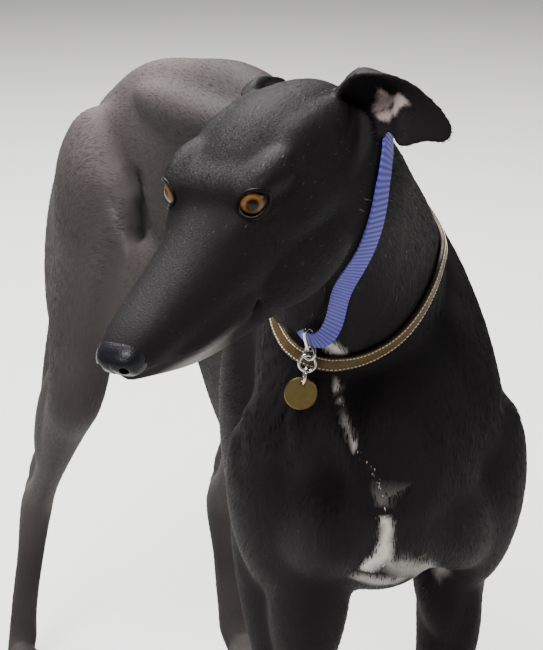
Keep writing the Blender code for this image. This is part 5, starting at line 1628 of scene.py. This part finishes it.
def thread_finish():
    """Cream thread, twisted."""
    make = Maker("stitch", Sheen_Weight=0.2)
    twist = make.node("ShaderNodeTexWave", {"wave_type": "BANDS", "bands_direction": "DIAGONAL"},
                      {"Vector": make.places(), "Scale": 900.0, "Distortion": 1.0})
    colour = make.mix(twist, (0.42, 0.34, 0.22), (0.66, 0.58, 0.42))
    return make.feed(Base_Color=colour, Roughness=0.7, Normal=make.bump(twist, 0.0001, 0.5))


def floor_finish():
    """A pale, matt floor."""
    make = Maker("floor")
    patch = make.noise(make.places(), 0.7, 2.0)
    return make.feed(Base_Color=make.mix(patch, (0.56, 0.555, 0.54), (0.60, 0.595, 0.58)), Roughness=0.85)


def number_attribute(obj, name, values):
    """A value for every vertex, for the finishes to read."""
    made = obj.data.attributes.new(name, "FLOAT", "POINT")
    made.data.foreach_set("value", np.ascontiguousarray(values, np.float32))


def make_eye(sign, material):
    """A fine eyeball whose cornea swells in front of the iris."""
    frame = eye_frame(sign)
    bm = bmesh.new()
    made = bmesh.ops.create_uvsphere(bm, u_segments=64, v_segments=48, radius=EYE_RADIUS)
    for vert in made["verts"]:
        away = math.hypot(vert.co.x, vert.co.y)
        if vert.co.z > 0:
            vert.co.z += CORNEA_RISE * math.exp(-(away / (IRIS * 0.80)) ** 2)
    obj = shown("eye_left_fine" if sign > 0 else "eye_right_fine", bm)
    local = places_of(obj)
    away = np.hypot(local[:, 0], local[:, 1])
    away[local[:, 2] < 0] = EYE_SPREAD
    number_attribute(obj, "ring", np.clip(away / EYE_SPREAD, 0, 1))
    number_attribute(obj, "turn", np.arctan2(local[:, 1], local[:, 0]) / math.tau + 0.5)
    obj.data.transform(frame)
    return dressed(obj, material)


def evened(line):
    """A closed line with its small turns taken out."""
    return (np.roll(line, 1, 0) + 2 * line + np.roll(line, -1, 0)) / 4


def lid_line(skin, sign, count=96):
    """The rim of the eye's opening, found on the skin round it."""
    back = eye_frame(sign).inverted()
    matrix = np.array(back)
    local = places_of(skin) @ matrix[:3, :3].T + matrix[:3, 3]
    wide, tall, deep = EYE_OPENING
    local[:, 0] -= EYE_SHIFT * sign
    narrow = 1.0 - EYE_NARROW * np.clip(local[:, 0] / wide, -1, 1) ** 2
    size = np.sqrt((local[:, 0] / wide) ** 2 + (local[:, 1] / (tall * narrow)) ** 2
                   + ((local[:, 2] - EYE_RADIUS) / deep) ** 2)
    away = np.linalg.norm(local + (EYE_SHIFT * sign, 0, 0), axis=1)
    edge = (np.abs(size - 1.0) < 0.05) & (away > EYE_RADIUS)
    angle = np.arctan2(local[:, 1], local[:, 0])
    line = []
    for i in range(count):
        want = (i + 0.5) / count * math.tau - math.pi
        gap = np.abs((angle - want + math.pi) % math.tau - math.pi)
        pick = np.flatnonzero(edge & (gap < math.tau / count * 1.6))
        if len(pick):
            best = pick[np.argsort(-local[pick, 2])[:3]]
            line.append(local[best].mean(axis=0))
    line = np.array(line) + (EYE_SHIFT * sign, 0, 0)
    for _ in range(6):
        line = evened(line)
    return line


def tube_ring(bm, line, radii, sides=8):
    """A closed tube along a closed line, with a radius for each step."""
    count = len(line)
    made = bmesh.ops.create_grid(bm, x_segments=count, y_segments=sides, size=0.5)
    centre = line.mean(axis=0)
    for vert in made["verts"]:
        i = round((vert.co.x + 0.5) * count) % count
        roll = (vert.co.y + 0.5) * math.tau
        along = Vector(line[(i + 1) % count] - line[i - 1]).normalized()
        out = Vector(line[i] - centre)
        out = (out - along * out.dot(along)).normalized()
        other = along.cross(out)
        vert.co = Vector(line[i]) + (out * math.cos(roll) + other * math.sin(roll)) * radii[i]
    bmesh.ops.remove_doubles(bm, verts=made["verts"], dist=MERGE)
    bmesh.ops.recalc_face_normals(bm, faces=bm.faces[:])


def make_lids(skin, sign, black, moist):
    """The bare dark rims of the lids, and the moist line along the lower one."""
    side = "left" if sign > 0 else "right"
    line = lid_line(skin, sign)
    made = []
    bm = bmesh.new()
    tube_ring(bm, line, np.full(len(line), LID_RIM))
    made.append((shown("lid_rim_" + side, bm), black))
    centre = line.mean(axis=0) * (1, 1, 0)
    inner = centre + (line - centre) * (0.90, 0.88, 1.0)
    length = np.linalg.norm(inner, axis=1)
    inner *= np.maximum(1.0, (EYE_RADIUS + 0.00035) / length)[:, None]
    low = np.clip(-inner[:, 1] / 0.005, 0.0, 1.0)
    inner -= inner / np.linalg.norm(inner, axis=1)[:, None] * (0.0006 * (1.0 - low))[:, None]
    bm = bmesh.new()
    tube_ring(bm, inner, TEAR_LINE[0] + TEAR_LINE[1] * low)
    made.append((shown("tear_line_" + side, bm), moist))
    for obj, _ in made:
        obj.data.transform(eye_frame(sign))
    return [dressed(obj, material) for obj, material in made]


def make_nose(material):
    """The nose with its nostrils and the groove between them."""
    frame = head_frame()
    rows = [(0, y, (top + low) / 2, half, (top - low) / 2, (top - low) / 2, 2.4)
            for y, top, low, half in NOSE]
    bm = bmesh.new()
    tube(bm, rows, sides=64, count=48, frame=frame)
    nose = fused("nose_fine", bm, NOSE_VOXEL, 4, even_weight)
    for sign in (-1, 1):
        x, y, z = NOSTRIL_PLACE
        bores = (((x * sign, y - 0.004, z), (x * sign * 1.15, y + 0.0075, z + 0.0015),
                  0.0030, 0.0036, (1, 0, 0)),
                 ((x * sign * 1.05, y + 0.002, z - 0.001), (x * sign * 2.25, y + 0.0115, z + 0.0020),
                  0.0014, 0.0022, (0, 1, 0)))
        for start, end, width, depth, side in bores:
            bm = bmesh.new()
            spindle(bm, start, end, width, depth, side=side, frame=frame, facets=32)
            carve(nose, shown("cutter", bm))
    keep_largest(nose)
    local = in_head(places_of(nose))
    groove = np.exp(-(local[:, 0] / 0.0007) ** 2) * np.clip((0.012 - local[:, 2]) / 0.006, 0, 1)
    groove *= np.clip((0.006 - local[:, 1]) / 0.004, 0, 1)
    set_places(nose, places_of(nose) - normals_of(nose) * (NOSE_GROOVE * groove)[:, None])
    bm = bmesh.new()
    bm.from_mesh(nose.data)
    smooth(bm, bm.verts[:])
    bm.to_mesh(nose.data)
    bm.free()
    return dressed(nose, material)


def make_claws(material):
    """One dark, curved claw on every toe."""
    bm = bmesh.new()
    for fore, name in FEET:
        for lane, reach in TOES:
            tip = toe_tip(lane, reach)
            spindle(bm, tip + Vector((0, 0, 0.002)), tip + Vector((lane * TOE_LEAN / 2, -0.0165, -0.0045)),
                    0.0022, 0.0029, frame=paw_frame(name, fore), facets=16)
    return dressed(shown("claws", bm), material)


def stitch_rows(band, width, thickness, material):
    """Cream stitches in a row along each edge of a band, half sunk into it."""
    along, across = (np.empty(len(band.data.vertices)) for _ in range(2))
    band.data.attributes["along"].data.foreach_get("value", along)
    band.data.attributes["across"].data.foreach_get("value", across)
    places = places_of(band)
    stop = np.round(along / along.max() * (BAND_STEPS - 1)).astype(int)
    edges = []
    for way in (-1, 1):
        rim = across * way > width * 0.40
        count = np.bincount(stop[rim], minlength=BAND_STEPS)
        total = [np.bincount(stop[rim], places[rim, i], BAND_STEPS) for i in range(3)]
        filled = count > 0
        found = np.flatnonzero(filled)
        line = np.stack([np.interp(np.arange(BAND_STEPS), found, part[filled] / count[filled])
                         for part in total], axis=1)
        edges.append(evened(line))
    middle = (edges[0] + edges[1]) / 2
    side = unit(edges[1] - edges[0])
    forward = np.roll(middle, -1, 0) - np.roll(middle, 1, 0)
    step = np.linalg.norm(np.roll(middle, -1, 0) - middle, axis=1).mean()
    forward = unit(forward)
    out = np.cross(forward, side)
    if (out * (middle - middle.mean(axis=0))).sum() < 0:
        out = -out
    bm = bmesh.new()
    number = int(BAND_STEPS * step / STITCH_STEP)
    for way in (-1, 1):
        for k in range(number):
            at = k / number * BAND_STEPS
            i = int(at) % BAND_STEPS
            j, share = (i + 1) % BAND_STEPS, at - int(at)
            line = middle + side * (way * (width / 2 - STITCH_INSET)) + out * (thickness / 2)
            spot = Vector(line[i] * (1 - share) + line[j] * share)
            half = Vector(forward[i]) * STITCH_STEP * (STITCH_LENGTH / 2)
            spindle(bm, spot - half, spot + half, *STITCH_GIRTH, side=out[i], facets=8)
    return dressed(shown(band.name + "_stitches", bm), material)


def make_band(name, points, width, thickness, skin, material, edge, slack=0.0, slack_at=None):
    """A finished collar band, and the place where its keeper ring hangs."""
    obj, hanger = strap(name, points, width, thickness, skin, slack, slack_at)
    soft = obj.modifiers.new("edge", "BEVEL")
    soft.width = edge
    soft.segments = 2
    soft.limit_method = "ANGLE"
    apply_modifiers(obj)
    return dressed(obj, material), hanger


# The pieces of the dog, from its skin outwards.
skin = make_skin()
tree = skin_tree(skin)
marks = {name: mark_points(tree, spots) for name, spots in MARKS.items()}
skin_places = places_of(skin)
skin_normals = normals_of(skin)
shade, white, brown_and_sheen = coat_colours(skin_places, skin_normals, marks)
set_colours(skin, np.stack([shade, white, brown_and_sheen, np.zeros(len(shade))], axis=1))
pink_edge = wander_at(skin_places, 420.0, 9) * 0.004
number_attribute(skin, "bare", mark_amount(skin_places, marks["pink"], 0.003, pink_edge))
skin.data.materials.append(coat_finish("short_coat", False))
coat = make_coat(skin, marks, coat_finish("tufts", True))

eye_look = eye_finish()
eyes = [make_eye(sign, eye_look) for sign in (-1, 1)]
rim_black = dark_finish("lid_rim", (0.002, 0.002, 0.002), (0.006, 0.005, 0.005), 0.40, 500.0, 0.0001)
moist = dark_finish("tear_line", (0.045, 0.038, 0.038), (0.10, 0.088, 0.088), 0.16, 300.0, 0.00005)
lids = [obj for sign in (-1, 1) for obj in make_lids(skin, sign, rim_black, moist)]
nose = make_nose(nose_finish())
claws = make_claws(dark_finish("claw", (0.030, 0.025, 0.022), (0.075, 0.062, 0.052), 0.35, 220.0, 0.0001))

webbing = webbing_finish()
leather = leather_finish()
blue, hanger = make_band("blue_band", BLUE_COLLAR, BLUE_WIDTH, BLUE_THICKNESS, tree, webbing, WEBBING_EDGE,
                         SLACK, SLACK_AT)
brown_band, _ = make_band("leather_band", LEATHER_COLLAR, LEATHER_WIDTH, LEATHER_THICKNESS, tree, leather,
                          LEATHER_EDGE)
stitches = stitch_rows(brown_band, LEATHER_WIDTH, LEATHER_THICKNESS, thread_finish())
steel = metal_finish("steel", (0.60, 0.58, 0.54), (0.40, 0.38, 0.35), 0.16)
brass = metal_finish("brass", (0.15, 0.112, 0.042), (0.085, 0.062, 0.023), 0.30)
metal = list(zip(add_tag(*hanger), CHAIN))
for made, name in metal:
    made.name = name + "_fine"
    dressed(made, brass if name == "tag" else steel)
    made.data.set_sharp_from_angle(angle=SHARP_ANGLE)

SHIFT = Vector(np.mean([vert.co for vert in frame["nodes"]["eye_left"].data.vertices], axis=0)) \
    - eye_frame(1).translation
flesh_nodes = ["head", "neck", "torso", "tail", "ear_left", "ear_right"] + [
    part + name for part in ("foreleg_", "hindleg_", "forepaw_", "hindpaw_") for name in ("left", "right")]
pieces = [(skin, "coat", flesh_nodes)]
pieces += [(piece, "coat", []) for piece in coat]
pieces += [(eye, "eye", [eye.name.replace("_fine", "")]) for eye in eyes]
pieces += [(lid, "nose_leather", []) for lid in lids]
pieces += [(nose, "nose_leather", ["nose_pad"]), (claws, "nose_leather", [])]
pieces += [(blue, "blue_webbing", ["collar_blue"]), (brown_band, "brown_leather", ["collar_leather"]),
           (stitches, "brown_leather", [])]
pieces += [(made, "brass_tag" if name == "tag" else "steel_ring", [name]) for made, name in metal]
for piece, slot, nodes in pieces:
    piece.data.transform(Matrix.Translation(SHIFT))
    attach(piece, "root")
    if nodes:
        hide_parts(*nodes)

floor_mesh = bmesh.new()
bmesh.ops.create_grid(floor_mesh, x_segments=1, y_segments=1, size=FLOOR_SIZE)
floor = shown("floor", floor_mesh)
floor.data.materials.append(floor_finish())

camera = placed("camera", bpy.data.cameras.new("camera"))
camera.data.sensor_width = SENSOR
camera.data.lens = FOCAL_PIXELS / PICTURE[1] * camera.data.sensor_width
camera.data.clip_start = NEAREST
camera.location = CAMERA_PLACE + SHIFT
camera.rotation_euler = look_axes()[2].to_track_quat("-Z", "Y").to_euler()
bpy.context.scene.camera = camera


def add_light(name, place, target, size, power, colour):
    """A round lamp that faces a point."""
    light = bpy.data.lights.new(name, "AREA")
    light.shape = "DISK"
    light.size = size
    light.energy = power
    light.color = colour
    obj = placed(name, light)
    obj.location = place
    obj.rotation_euler = (Vector(target) - Vector(place)).to_track_quat("-Z", "Y").to_euler()


for name, lamp in LIGHTS.items():
    add_light(name, *lamp)
world = bpy.data.worlds.new("room")
bpy.context.scene.world = world
world.use_nodes = True
world.node_tree.nodes["Background"].inputs["Color"].default_value = ROOM_COLOUR
world.node_tree.nodes["Background"].inputs["Strength"].default_value = ROOM_STRENGTH
